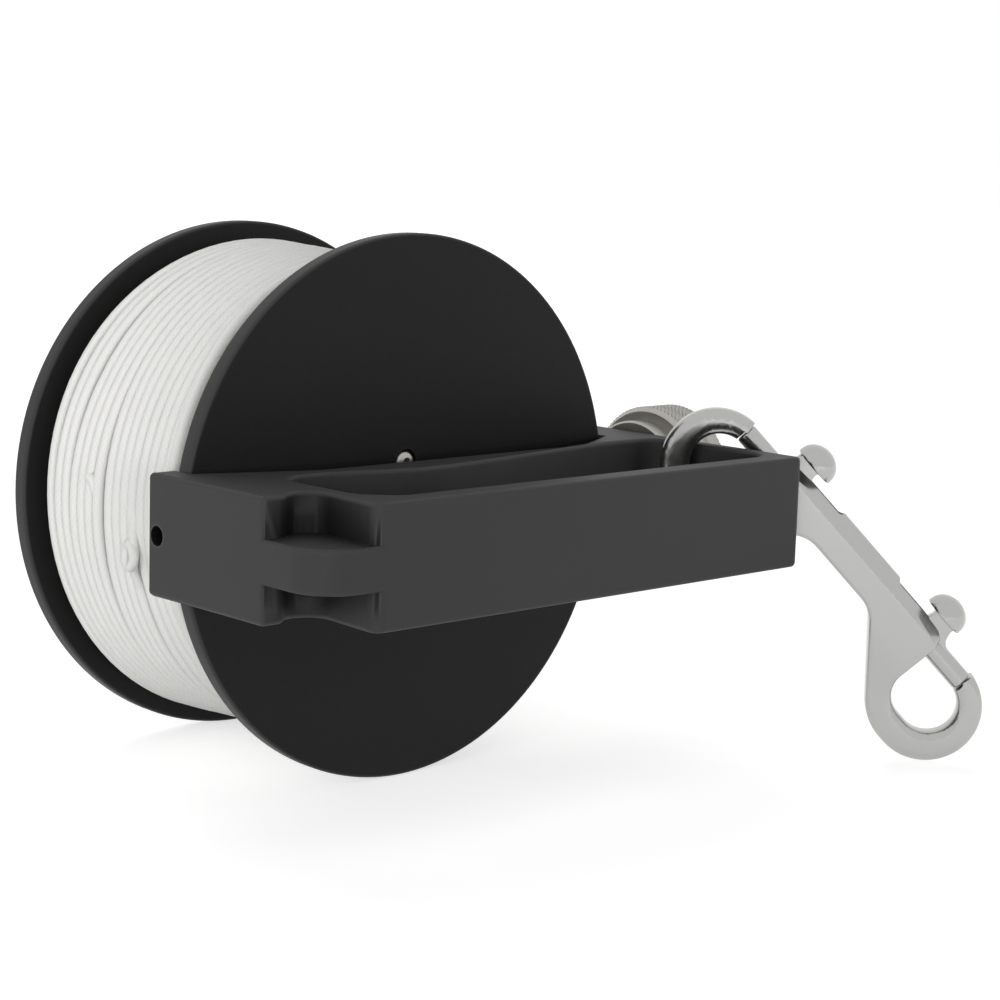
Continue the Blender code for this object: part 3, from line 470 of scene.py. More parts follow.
def copy_of(node):
    """A CAD node's shape with its loose triangles sewn up and its flat faces made whole."""
    bm = bmesh.new()
    bm.from_mesh(frame["nodes"][node].data)
    bmesh.ops.remove_doubles(bm, verts=bm.verts, dist=0.001 * MM)
    bmesh.ops.dissolve_limit(
        bm, angle_limit=math.radians(0.4), verts=bm.verts, edges=bm.edges, delimit={"NORMAL"}
    )
    return bm


def middle_of(node):
    """The middle of a CAD node's box."""
    low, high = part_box(node)
    return (low + high) / 2


def mesh_of(name, bm):
    """Turns a bmesh into a mesh, and frees it."""
    mesh = bpy.data.meshes.new(name)
    bm.to_mesh(mesh)
    bm.free()
    return mesh


def placed(name, data):
    """A new object of the scene."""
    made = bpy.data.objects.new(name, data)
    bpy.context.scene.collection.objects.link(made)
    return made


def add_piece(name, shape, body, slot, nodes=(), finish=None, sharp=35, weigh=True):
    """Makes a mesh or bmesh a piece that rides on a body and stands for CAD nodes. Its
    faces are smooth up to the sharp angle, in degrees."""
    mesh = mesh_of(name, shape) if isinstance(shape, bmesh.types.BMesh) else shape
    mesh.shade_smooth()
    mesh.set_sharp_from_angle(angle=math.radians(sharp))
    mesh.materials.clear()
    mesh.materials.append(finish or finish_of(slot))
    piece = placed(name, mesh)
    if weigh:
        normals = piece.modifiers.new("weighted_normals", "WEIGHTED_NORMAL")
        normals.keep_sharp = True
    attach(piece, body)
    if nodes:
        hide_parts(*nodes)


def evaluated_mesh(piece):
    """The piece's mesh with its modifiers applied; the piece itself is removed."""
    graph = bpy.context.evaluated_depsgraph_get()
    graph.update()
    mesh = bpy.data.meshes.new_from_object(piece.evaluated_get(graph), depsgraph=graph)
    bpy.data.objects.remove(piece)
    return mesh


def cut_away(name, bm, tools):
    """The mesh of one bmesh with others, by name, cut out of it."""
    piece = placed(name, mesh_of(name, bm))
    cutters = [placed(tool, mesh_of(tool, shape)) for tool, shape in tools.items()]
    for cutter in cutters:
        change = piece.modifiers.new(cutter.name, "BOOLEAN")
        change.operation = "DIFFERENCE"
        change.object = cutter
    mesh = evaluated_mesh(piece)
    for cutter in cutters:
        bpy.data.objects.remove(cutter)
    return mesh


# Handle


class REEL_OT_handle(Operator):
    """Machined handle: smooth rounded corners, bay, web, hand slot and holes"""

    bl_idname = "reel.handle"
    bl_label = "Handle"

    def execute(self, context):
        add_piece("machined_handle", copy_of("frame"), "handle", "handle_black", ["frame"])
        return {"FINISHED"}


# Spool

SCREW_SEAT = 1.6 * MM
SCREW_HEAD = 2.7 * MM
SCREW_HEAD_HEIGHT = 1.55 * MM
SCREW_SHANK = 1.5 * MM
SCREW_TIP = 0.4 * MM
SCREW_STEPS = 32
SOCKET = 0.95 * MM
SEAT_GAP = 0.3 * MM
SCREWS_PER_FLANGE = 4
BUSH_LIP = 0.5 * MM
SPINDLE_HOLE = 2.8 * MM
FLANGE_STEPS = 180
FLANGE_EDGE_STEPS = 4
SIDES = (("front", -1), ("rear", 1))
TURNED_NODES = ("axle_screw", "axle_nut", "rear_washer", "winding_spindle", "lock_screw")
MOULDED_NODES = ("thrust_collar", "bush_front", "bush_rear", "lock_pad")


def flange_profile(low, high):
    """A flange's section between two heights, with both corners of its rim rounded."""
    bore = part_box("bush_front")[1].x - BUSH_LIP
    radius, edge = sizes().flange_radius, sizes().flange_edge
    lower = map(Vector, ((radius - edge, low), (radius, low), (radius, low + edge)))
    upper = map(Vector, ((radius, high - edge), (radius, high), (radius - edge, high)))
    rim = [*eased(*lower, FLANGE_EDGE_STEPS), *eased(*upper, FLANGE_EDGE_STEPS)]
    return [(bore, low), *rim, (bore, high)]


class REEL_OT_flanges(Operator):
    """Both spool flanges, turned discs with softly rounded rims and sunk screw seats"""

    bl_idname = "reel.flanges"
    bl_label = "Flanges"

    def execute(self, context):
        for side, outward in SIDES:
            node = f"flange_{side}"
            low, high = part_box(node)
            face = low.y if outward < 0 else high.y
            thick = high.y - low.y
            clear, wide = SCREW_SHANK + SEAT_GAP, SCREW_HEAD + SEAT_GAP
            drill = [(0, -thick), (wide, -thick), (wide, SCREW_SEAT), (clear, SCREW_SEAT),
                     (clear, thick * 2), (0, thick * 2)]
            tools = {}
            for k in range(SCREWS_PER_FLANGE):
                centre = middle_of(f"{side}_flange_screw_{k + 1}")
                place = (centre.x, face, centre.z)
                tools[f"{side}_seat_{k + 1}"] = turned_mesh(
                    drill, SCREW_STEPS, ALONG_Y * -outward, place
                )
            if side == "rear":
                centre = middle_of("winding_spindle")
                tools["spindle_hole"] = turned_mesh(
                    rod(SPINDLE_HOLE, thick * 2, -thick), SCREW_STEPS, -ALONG_Y,
                    (centre.x, face, centre.z),
                )
            disc = turned_mesh(flange_profile(low.y, high.y), FLANGE_STEPS, closed=True)
            mesh = cut_away(node, disc, tools)
            add_piece(f"{side}_flange", mesh, "spool", "flange_black", [node])
        hub = frame["nodes"]["hub"].data
        hub.materials.clear()
        hub.materials.append(finish_of("handle_black"))
        return {"FINISHED"}


def screw_profile(reach):
    """The profile of a low domed socket screw, from its socket's floor to its tip."""
    head, height = SCREW_HEAD, SCREW_HEAD_HEIGHT
    return [
        (0, -height * 0.4), (SOCKET, -height * 0.4), (SOCKET + 0.05 * MM, -height * 0.93),
        (SOCKET + 0.15 * MM, -height), (head * 0.5, -height * 0.96),
        (head * 0.72, -height * 0.82), (head * 0.88, -height * 0.58),
        (head * 0.97, -height * 0.28), (head, 0), (head - 0.05 * MM, SEAT_GAP * 0.6),
        (SCREW_SHANK, SEAT_GAP * 0.6), (SCREW_SHANK, reach - SCREW_TIP),
        (SCREW_SHANK - SCREW_TIP, reach), (0, reach),
    ]


class REEL_OT_hardware(Operator):
    """Axle, nut, washers, bushes and the flange screws"""

    bl_idname = "reel.hardware"
    bl_label = "Axle and screws"

    def execute(self, context):
        for side, outward in SIDES:
            for k in range(SCREWS_PER_FLANGE):
                node = f"{side}_flange_screw_{k + 1}"
                low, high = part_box(node)
                seat = low.y + SCREW_SEAT if outward < 0 else high.y - SCREW_SEAT
                place = (middle_of(node).x, seat, middle_of(node).z)
                profile = screw_profile(high.y - low.y - SCREW_SEAT)
                bm = turned_mesh(profile, SCREW_STEPS, ALONG_Y * -outward, place)
                add_piece(f"{node}_turned", bm, "spool", "steel", [node])
        for nodes, way, slot, width in (
            (TURNED_NODES, "turned", "steel", 0.25 * MM),
            (MOULDED_NODES, "moulded", "pale_plastic", 0.2 * MM),
        ):
            for node in nodes:
                body = frame["nodes"][node]["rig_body"]
                bm = self.with_soft_edges(node, width)
                add_piece(f"{node}_{way}", bm, body, slot, [node])
        return {"FINISHED"}

    def with_soft_edges(self, node, width):
        """A copy of a CAD node with the sharpness taken off its corners."""
        bm = copy_of(node)
        sharp = math.radians(40)
        corners = [e for e in bm.edges if e.is_manifold and e.calc_face_angle() > sharp]
        return bevelled(bm, corners, width, True)


# Line

SAMPLES = 96
SETTLING_STEPS = 150
SEED = 11
DRIFT_WAVES = (0.37, 0.81, 1.3)
LOWER_DRIFT = 0.4 * MM
UPPER_DRIFT = 1.0 * MM
UPPER_START = 0.6 * MM
UPPER_END = 2.4 * MM
LAST_TURN_REACH = 9 * MM
LAST_TURN_LIFT_SHARE = 1.8
SINKING = 0.05 * MM
RETURN_SHARE = 0.03
PUSH_SHARE = 0.6
SMOOTHING = 0.6
LEAST_SMOOTHING = 0.4
TUCKED_SAMPLES = 8
TUCK_DEPTH_SHARE = 1.5
END_THICKNESS_SHARE = 0.78
CURVE_STEPS = 6
BED_STEPS = 96
HUB_GAP = 0.3 * MM

# The line's knot and its tag: an angle, a place along the axle, and points round, along and
# up from there in millimetres.
LINE_ENDS = (
    (math.radians(-99.3), 77.6 * MM, [
        (-11, 1.6, -1.9), (-7, 1.2, -0.9), (-3.4, 0.6, 0), (-0.6, -1.1, 0.7), (1.6, -1.5, 0.9),
        (2.6, 0.2, 0.5), (1.2, 1.9, 0.2), (-1.4, 1.7, 0.9), (-2.3, -0.3, 1.5),
        (-0.6, -1.9, 1.2), (2.4, -1.2, 0.2), (6, 0.2, -0.9), (10, 1.2, -1.9),
    ]),
    (math.radians(-81), 92.4 * MM, [
        (-7.4, -1.2, -1.9), (-5.6, -1.0, -1.1), (-3.8, -0.6, -0.5), (-2.2, 0.2, 0.1),
    ]),
)


def wander(rng, count, amplitude):
    """A smooth random drift over count samples."""
    angle = np.arange(count) * math.tau / SAMPLES
    drift = np.zeros(count)
    for wave in DRIFT_WAVES:
        drift += rng.uniform(0.5, 1) * np.sin(wave * angle + rng.uniform(0, math.tau))
    return drift * amplitude / len(DRIFT_WAVES)


def winding_limits():
    """Where the line may lie between the flanges."""
    front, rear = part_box("flange_front")[1].y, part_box("flange_rear")[0].y
    half = sizes().line_spacing / 2
    return front + half, rear - half


def rise_at(along):
    """How far out the winding's slope carries the line at a place along the axle."""
    first, last = winding_limits()
    return sizes().line_rise * ((along - first) / (last - first) - 0.5)


def turns_of(turns, start, end, lift, rng, drift):
    """One layer: the places along the axle and the radii of its samples."""
    count = turns * SAMPLES
    along = start + (end - start) * np.arange(count) / count
    along = along + wander(rng, count, drift)
    return along, np.full(count, sizes().line_bed_radius + lift)


def last_turn(start, end, lift):
    """One turn that runs over the others from one place along the axle to another."""
    ease = 0.5 - 0.5 * np.cos(math.pi * np.arange(SAMPLES) / SAMPLES)
    return start + (end - start) * ease, np.full(SAMPLES, sizes().line_bed_radius + lift)


def settled(along, radius, first, last):
    """Lets the turns slide, sink and press on each other until none lies in another."""
    along, radius = along.reshape(-1, SAMPLES), radius.reshape(-1, SAMPLES)
    wanted = along.copy()
    apart = sizes().line_spacing
    floor = sizes().line_bed_radius + apart / 2
    for step in range(SETTLING_STEPS):
        pull = 1 - step / SETTLING_STEPS
        radius -= SINKING * pull
        along += RETURN_SHARE * pull * (wanted - along)
        for _ in range(2):
            across = along[:, None] - along[None]
            up = radius[:, None] - radius[None]
            distance = np.sqrt(across**2 + up**2) + 1e-9
            push = np.clip(apart - distance, 0, None) / distance * 0.5
            np.einsum("iij->ij", push)[:] = 0
            along += np.clip((push * across).sum(1), -apart / 3, apart / 3) * PUSH_SHARE
            radius += np.clip((push * up).sum(1), -apart / 3, apart / 3) * PUSH_SHARE
        ease = LEAST_SMOOTHING + (1 - LEAST_SMOOTHING) * pull
        for values in (along, radius):
            path = values.reshape(-1)
            smooth = path.copy()
            smooth[1:-1] = 0.25 * path[:-2] + 0.5 * path[1:-1] + 0.25 * path[2:]
            values[:] = (path + (smooth - path) * SMOOTHING * ease).reshape(-1, SAMPLES)
        radius = np.maximum(radius, floor)
        along = np.clip(along, first, last)
    return along.reshape(-1), radius.reshape(-1)


def tucked_in(radius):
    """Sinks both ends of the line under the turns beside them."""
    share = np.clip(1 - np.arange(len(radius)) / TUCKED_SAMPLES, 0, 1) ** 2
    return radius - TUCK_DEPTH_SHARE * sizes().line_diameter * (share + share[::-1])


def round_the_axle(along, radius):
    """The points of a path, from its places along the axle and its radii."""
    angle = np.arange(len(along)) / SAMPLES * math.tau
    return [
        (r * math.sin(a), y, r * math.cos(a))
        for a, y, r in zip(angle, along, radius + rise_at(along))
    ]


def on_the_winding(angle, along, points):
    """Points (round, along, up) in millimetres about a place on the winding."""
    surface = sizes().line_bed_radius + 2 * sizes().line_spacing + rise_at(along)
    for round_it, along_it, up in points:
        radius = surface + up * MM
        a = angle + round_it * MM / surface
        yield radius * math.sin(a), along + along_it * MM, radius * math.cos(a)


def smooth_path(points):
    """A Catmull-Rom curve through a few points."""
    vectors = [Vector(point) for point in points]
    vectors = [vectors[0], *vectors, vectors[-1]]
    path = []
    for a, b, c, d in zip(vectors, vectors[1:], vectors[2:], vectors[3:]):
        for t in (k / CURVE_STEPS for k in range(CURVE_STEPS)):
            path.append(
                0.5 * (2 * b + (c - a) * t + (2 * a - 5 * b + 4 * c - d) * t**2
                       + (3 * b - 3 * c + d - a) * t**3)
            )
    return [*path, vectors[-1]]


def tube(name, paths, thickness):
    """Round tubes along paths of points, with a map of metres along and turns round."""
    curve = bpy.data.curves.new(name, "CURVE")
    curve.dimensions = "3D"
    curve.bevel_depth = thickness / 2
    curve.bevel_resolution = 2
    curve.use_fill_caps = True
    for path in paths:
        spline = curve.splines.new("POLY")
        spline.points.add(len(path) - 1)
        for target, point in zip(spline.points, path):
            target.co = (*point, 1)
    mesh = evaluated_mesh(placed(name, curve))
    stretch_the_map(mesh, paths)
    return mesh


def stretch_the_map(mesh, paths):
    """Stretches the curve's own map from shares of each path to metres along it."""
    lengths = [sum(math.dist(a, b) for a, b in zip(path, path[1:])) for path in paths]
    counts = [len(path) for path in paths]
    layer = mesh.uv_layers[0]
    layer.name = "line"
    starts = np.cumsum([0, *counts]) * len(mesh.vertices) / sum(counts)
    corners = np.zeros(len(mesh.loops), np.int64)
    mesh.loops.foreach_get("vertex_index", corners)
    path = np.clip(np.searchsorted(starts, corners, side="right") - 1, 0, len(lengths) - 1)
    uv = np.zeros(len(mesh.loops) * 2, np.float32)
    layer.data.foreach_get("uv", uv)
    uv[::2] *= np.array(lengths, np.float32)[path]
    layer.data.foreach_set("uv", uv)


class REEL_OT_winding(Operator):
    """Wound braided line: one length in two settled layers, a last turn, a knot and a tag"""

    bl_idname = "reel.winding"
    bl_label = "Wound line"

    def execute(self, context):
        rng = np.random.default_rng(SEED)
        first, last = winding_limits()
        size = sizes()
        spacing = size.line_spacing
        layers = [
            turns_of(size.lower_turns, first, last, spacing / 2, rng, LOWER_DRIFT),
            turns_of(size.upper_turns, last - UPPER_START, first + UPPER_END, spacing * 1.5, rng,
                     UPPER_DRIFT),
            last_turn(first, first + LAST_TURN_REACH, spacing * LAST_TURN_LIFT_SHARE),
        ]
        along, radius = settled(*map(np.concatenate, zip(*layers)), first, last)
        path = round_the_axle(along, tucked_in(radius))
        mesh = tube("wound_line", [path], size.line_diameter)
        add_piece("wound_line", mesh, "spool", "line_white", ["line_turns"], sharp=80, weigh=False)
        ends = [smooth_path(on_the_winding(*end)) for end in LINE_ENDS]
        mesh = tube("line_end", ends, size.line_diameter * END_THICKNESS_SHARE)
        add_piece("line_end", mesh, "spool", "line_white", sharp=80, weigh=False)
        low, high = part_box("line_core")
        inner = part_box("hub")[1].x + HUB_GAP
        front = size.line_bed_radius + rise_at(low.y)
        rear = size.line_bed_radius + rise_at(high.y)
        bed = [(inner, low.y), (front, low.y), (rear, high.y), (inner, high.y)]
        bm = turned_mesh(bed, BED_STEPS, closed=True)
        add_piece("line_bed", bm, "spool", "line_white", ["line_core"], finish=line_beneath_in_shade())
        return {"FINISHED"}


# Winding knob: its outline is in shares of its radius and its length

GRIP_STEPS = 64
GRIP_BORE_SHARE = 0.305
GRIP_POCKET_SHARE = 0.49
GRIP_POCKET_EDGE = 0.8 * MM
GRIP_POCKET_DEPTH = 2.6 * MM
GRIP_OUTLINE = [
    (0.70, 0.0), (0.79, 0.012), (0.815, 0.04), (0.80, 0.1), (0.755, 0.2), (0.72, 0.33),
    (0.73, 0.45), (0.78, 0.6), (0.86, 0.75), (0.94, 0.85), (0.985, 0.91), (1.0, 0.95),
    (0.985, 0.98), (0.94, 0.995), (0.88, 1.0), (0.56, 1.0), (0.5, 0.99),
]


class REEL_OT_winding_knob(Operator):
    """Waisted winding knob on the rear flange"""

    bl_idname = "reel.winding_knob"
    bl_label = "Winding knob"

    def execute(self, context):
        low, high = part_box("winding_knob")
        centre = middle_of("winding_knob")
        radius = (high.x - low.x) / 2
        pocket, bore = radius * GRIP_POCKET_SHARE, radius * GRIP_BORE_SHARE
        floor = high.y - GRIP_POCKET_DEPTH
        profile = [(bore, low.y)]
        profile += [(radius * r, low.y + (high.y - low.y) * h) for r, h in GRIP_OUTLINE]
        profile += [(pocket, high.y - GRIP_POCKET_EDGE), (pocket, floor), (bore, floor)]
        bm = turned_mesh(profile, GRIP_STEPS, place=(centre.x, 0, centre.z), closed=True)
        add_piece("winding_grip", bm, "winding_grip", "handle_black", ["winding_knob"])
        return {"FINISHED"}


# Lock knob: its turned steps are (radius, distance from its inner end) in millimetres

KNOB_BORE = 3.3 * MM
KNOB_COLLAR = [
    (14.3, 0), (14.8, 0.4), (14.8, 2.4), (14.5, 2.7), (14.5, 4.6), (16.8, 4.6), (17.2, 4.9),
    (17.5, 5.35),
]
KNURL_START = 5.7 * MM
KNURL_END = 15.1 * MM
KNURL_SAMPLES = 4
KNURL_ROUNDNESS = 0.5
KNOB_LAND = 0.3 * MM
KNOB_RIM = 17.5 * MM
KNOB_TOP = 16.8 * MM


class REEL_OT_lock_knob(Operator):
    """Turned lock knob with a diamond-knurled band"""

    bl_idname = "reel.lock_knob"
    bl_label = "Lock knob"

    def execute(self, context):
        low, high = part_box("lock_knob")
        centre = Vector((0, *middle_of("lock_knob").yz))
        radius = (high.z - low.z) / 2
        depth, width = sizes().knurl_height, sizes().knurl_width
        start, end = low.x + KNURL_START, low.x + KNURL_END
        floor = radius - depth
        rows = KNURL_SAMPLES * round((end - start) / width)
        screw_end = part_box("lock_screw")[1].x + SEAT_GAP
        profile = [(0, screw_end), (KNOB_BORE, screw_end), (KNOB_BORE, low.x)]
        profile += [(r * MM, low.x + along * MM) for r, along in KNOB_COLLAR]
        profile += [(floor, start + (end - start) / rows * k) for k in range(rows + 1)]
        profile += [(KNOB_RIM, end + KNOB_LAND), (KNOB_TOP, high.x), (0, high.x)]
        diamonds = round(math.tau * radius / width)
        bm = turned_mesh(profile, KNURL_SAMPLES * diamonds, ALONG_X, centre)
        for vert in bm.verts:
            spoke = vert.co - centre
            spoke.x = 0
            if abs(spoke.length - floor) > 0.01 * MM:
                continue
            along = math.pi * (vert.co.x - start) / width
            turn = math.atan2(spoke.y, spoke.z) * diamonds / 2
            lines = abs(math.sin(turn + along)) * abs(math.sin(turn - along))
            vert.co += spoke.normalized() * depth * lines**KNURL_ROUNDNESS
        add_piece("knurled_lock_knob", bm, "lock", "steel", ["lock_knob"], sharp=30, weigh=False)
        return {"FINISHED"}


# Bolt snap: lengths here are in millimetres, along and across it from its upper ring's centre

SNAP_CENTRE = Vector((0.0701, 0.0242, 0.0083))
SNAP_TURN = math.radians(41)
SNAP_DROP = math.radians(46.9)
RING_SPACING = 74.7
RING_RADIUS = 12.9
HOLE_RADIUS = 6.7
HOLE_BACK = 0.3
HOLE_UP = 0.75
TIP_PAST = 1.3
WAIST = 5.1
WAIST_TO_RING = 26.4
WAIST_RADIUS = 8.0
NECK_ANGLE = math.radians(42.4)
HEEL_RADIUS = 13.0
BARREL_TO_RING = 9.6
BARREL_CORNER = 3.2
BACK = 14.9
BACK_END = 14.4
BACK_RUN = 7.2
BODY_THICKNESS = 3.9
RING_THICKNESS = 3.1
CHAMFER = 3.0
CHAMFER_START = 9.8
RIDGE_DROP = 3.2
ROUNDING = 3.0
ROUNDING_STEPS = 6
BACK_EDGE = 0.3
STRIP = 1.5
THINS_WITHIN = 11
THINS_OVER = 6
OUTER_SIDE = 4
OUTER_OVER = 12
MIDDLE_KEPT = 4
MIDDLE_OVER = 8

# How much of the full rounding each stretch of the outline has, and over how many points
# the neck's grows into the hook's.
WAIST_SHARE = 0.32
NECK_SHARE = 0.62
HOOK_SHARE = 0.9
BARREL_SHARE = 0.15
CORNER_SHARE = 0.08
BACK_SHARE = 0.28
HOOK_POINTS = 8

# Each end's name, the way it points and its ring's centre.
SNAP_ENDS = (("upper", -1, 0.0), ("lower", 1, RING_SPACING))
STUD_TO_RING = {"upper": 13.9, "lower": 12.6}
CAP_TO_RING = {"upper": 15.2, "lower": 13.5}
BOLT_AXIS = 9.8
BOLT_RADIUS = 2.5
BOLT_EDGE = 0.3
BOLT_NOSE = 0.5
BOLT_GAP = 0.3
BOLT_TAIL = 6.3
BOLT_TRAVEL = 9.5
BOLT_STEPS = 40
BORE_RADIUS = 2.8
BORE_STEPS = 32
SLOT_INSET = 3
SLOT_WIDTH = 3.6
SLOT_DEPTH = 9.0
SLOT_STEPS = 24
POST_HALF = 3.3
POST_THICKNESS = 3.0
POST_EDGE = 0.5
POST_OUTLINE = [
    (-3.3, 8.8), (-3.3, 14.2), (-3.0, 15.4), (-3.3, 16.6), (3.0, 16.6), (2.9, 15.4),
    (3.3, 14.2), (3.7, 13.3), (4.6, 12.6), (5.6, 12.2), (5.6, 8.8),
]
CAP_LIFT = 1.4
CAP_RIM = [(0, 0), (4.6, 0), (4.95, 0.12), (5.1, 0.45)]
CAP_STEPS = 48
DOME_RADIUS = 5.05
DOME_START = 0.8
DOME_HEIGHT = 4.4
DOME_STEPS = 10


def snap_matrix():
    """From the snap's own axes, along it, across it and out of its plane, to its place."""
    level = Vector((math.sin(SNAP_TURN), -math.cos(SNAP_TURN), 0))
    along = level * math.cos(SNAP_DROP) - ALONG_Z * math.sin(SNAP_DROP)
    across = level * math.sin(SNAP_DROP) + ALONG_Z * math.cos(SNAP_DROP)
    turn = Matrix((along, across, along.cross(across))).transposed().to_4x4()
    return Matrix.Translation(SNAP_CENTRE) @ turn @ Matrix.Scale(MM, 4)


def arc(centre, radius, start, end):
    """Points round a centre from one angle to another, at most six degrees apart."""
    steps = max(3, math.ceil(abs(math.degrees(end - start)) / 6))
    for k in range(steps + 1):
        angle = start + (end - start) * k / steps
        yield centre + Vector((math.cos(angle), math.sin(angle))) * radius


def rounded_corner(before, corner, after, radius):
    """The arc that takes the place of a corner."""
    a, b = (before - corner).normalized(), (after - corner).normalized()
    half = a.angle(b) / 2
    reach = radius / math.tan(half)
    middle = corner + (a + b).normalized() * radius / math.sin(half)
    spoke = corner + a * reach - middle
    start = math.atan2(spoke.y, spoke.x)
    return arc(middle, radius, start, start - spoke.angle_signed(corner + b * reach - middle))


def with_shares(points, first, last, count=None):
    """Each point with its share of the rounding, which goes from first to last."""
    points = list(points)
    count = count or len(points)
    return [(p, first + (last - first) * min(1, k / count)) for k, p in enumerate(points)]


def snap_half():
    """Half of the snap's outline from its middle: (point, share of the full rounding) each."""
    centre = Vector((RING_SPACING / 2, 0))
    waist = Vector((centre.x - WAIST_TO_RING, WAIST))
    heel = Vector((waist.x + (WAIST + RING_RADIUS) / math.tan(NECK_ANGLE), -RING_RADIUS))
    low = centre - Vector((0, RING_RADIUS))
    start = Vector((0, WAIST))
    outer_end = math.acos(TIP_PAST / RING_RADIUS)
    inner_end = math.acos((TIP_PAST + HOLE_BACK) / HOLE_RADIUS)
    hole = centre + Vector((-HOLE_BACK, HOLE_UP))
    barrel = centre.x - BARREL_TO_RING
    down = -math.pi / 2
    inner = list(arc(Vector((barrel + HOLE_RADIUS, HOLE_UP)), HOLE_RADIUS, down, -math.pi))
    top, back = Vector((barrel, BACK_END)), Vector((barrel - BACK_RUN, BACK))
    return [
        (start, WAIST_SHARE),
        *with_shares(rounded_corner(start, waist, heel, WAIST_RADIUS), WAIST_SHARE, WAIST_SHARE),
        *with_shares(rounded_corner(waist, heel, low, HEEL_RADIUS), WAIST_SHARE, NECK_SHARE),
        *with_shares(arc(centre, RING_RADIUS, down, outer_end), NECK_SHARE, HOOK_SHARE,
                     HOOK_POINTS),
        *with_shares(arc(hole, HOLE_RADIUS, inner_end, down), HOOK_SHARE, HOOK_SHARE),
        *with_shares(inner, HOOK_SHARE, BARREL_SHARE),
        *with_shares(rounded_corner(inner[-1], top, back, BARREL_CORNER), CORNER_SHARE,
                     CORNER_SHARE),
        (back, BACK_SHARE),
    ]


def snap_outline():
    """The whole outline, its upper half the lower one's mirror image."""
    middle = RING_SPACING / 2
    half = snap_half()
    lower = [(Vector((middle + p.x, p.y)), share) for p, share in half]
    upper = [(Vector((middle - p.x, p.y)), share) for p, share in half]
    outline = []
    for entry in lower + upper[:0:-1]:
        if not outline or (entry[0] - outline[-1][0]).length > 0.02:
            outline.append(entry)
    return outline


def on_the_face(point):
    """Where a point of the outline lies on the flat faces: the chamfer draws the back in."""
    in_the_barrel = BARREL_TO_RING - 0.1 < point.x < RING_SPACING - BARREL_TO_RING + 0.1
    share = min(1, max(0, (point.y - CHAMFER_START) / (BACK_END - CHAMFER_START)))
    return point - Vector((0, RIDGE_DROP * share * in_the_barrel))


def ways_in(points):
    """For each point of a closed outline, the step that moves its sides in by one. At a
    hook's cut end it follows the hook's side, so that the end stays flat."""
    ways = []
    for before, point, after in zip(points[-1:] + points[:-1], points, points[1:] + points[:1]):
        sides = (point - before, after - point)
        first, second = (Vector((-side.y, side.x)).normalized() for side in sides)
        if first.dot(second) < 0.5:
            ways.append(first if sides[0].length < sides[1].length else second)
        else:
            ways.append((first + second) * 2 / (first + second).length_squared)
    return ways


def snap_sections(outline):
    """Closed sections from the middle of the thickness to a flat face: the back's small
    edge, its chamfer, and the rounding of each point by its share."""
    sections = [[] for _ in range(ROUNDING_STEPS + 3)]
    drawn = [on_the_face(point) for point, _ in outline]
    for (point, share), corner, inward in zip(outline, drawn, ways_in(drawn)):
        back = Vector((*point, BODY_THICKNESS - CHAMFER))
        corner = Vector((*corner, BODY_THICKNESS))
        lean = (back - corner).normalized()
        start = corner + lean * ROUNDING * share
        end = corner + Vector((*inward, 0)) * ROUNDING * share
        rounding = eased(start, corner, end, ROUNDING_STEPS)
        edge = (back - ALONG_Z * BACK_EDGE, back - lean * BACK_EDGE)
        for section, place in zip(sections, (*edge, *rounding)):
            section.append(place)
    return sections


def snap_slab():
    """The snap's outline given its thickness, its chamfered back and its roundings."""
    half = snap_sections(snap_outline())
    mirrored = [[Vector((p.x, p.y, -p.z)) for p in section] for section in reversed(half)]
    bm = bmesh.new()
    rings = [[bm.verts.new(p) for p in section] for section in mirrored + half]
    for low, high in zip(rings, rings[1:]):
        for quad in zip(low, low[1:] + low[:1], high[1:] + high[:1], high):
            bm.faces.new(quad)
    bm.faces.new(rings[0])
    bm.faces.new(rings[-1])
    bmesh.ops.remove_doubles(bm, verts=bm.verts, dist=0.002)
    bmesh.ops.recalc_face_normals(bm, faces=bm.faces)
    return bm


def snap_cuts():
    """What is cut out of each end: the stud's slot, its round end and the bolt's bore."""
    tools = {}
    for name, side, ring in SNAP_ENDS:
        end = ring - side * (BARREL_TO_RING - SLOT_INSET)
        start = ring - side * (STUD_TO_RING[name] + POST_HALF + BOLT_TRAVEL)
        run = abs(end - start)
        slot = bmesh.new()
        bmesh.ops.create_cube(slot, size=1)
        bmesh.ops.scale(slot, vec=(run, SLOT_DEPTH, SLOT_WIDTH), verts=slot.verts)
        place = ((start + end) / 2, BOLT_AXIS + SLOT_DEPTH / 2, 0)
        bmesh.ops.translate(slot, vec=place, verts=slot.verts)
        tools[f"{name}_slot"] = slot
        tools[f"{name}_slot_end"] = turned_mesh(
            rod(SLOT_WIDTH / 2, SLOT_DEPTH), SLOT_STEPS, ALONG_Y, (start, BOLT_AXIS, 0)
        )
        tools[f"{name}_bore"] = turned_mesh(
            rod(BORE_RADIUS, run + BOLT_TAIL), BORE_STEPS, ALONG_X * -side, (end, BOLT_AXIS, 0)
        )
    return tools


def cut_in_strips(bm):
    """Cuts the flat sides small enough to follow the casting as it thins to its rings."""
    for axis, low, high in ((ALONG_X, -RING_RADIUS, RING_SPACING + RING_RADIUS),
                            (ALONG_Y, -RING_RADIUS, BACK)):
        for k in range(1, math.ceil((high - low) / STRIP)):
            bmesh.ops.bisect_plane(
                bm, geom=[*bm.verts, *bm.edges, *bm.faces], dist=0.001,
                plane_co=axis * (low + STRIP * k), plane_no=axis,
            )


def smooth_step(share):
    """A share held between 0 and 1, eased at both ends."""
    share = min(1, max(0, share))
    return share * share * (3 - 2 * share)


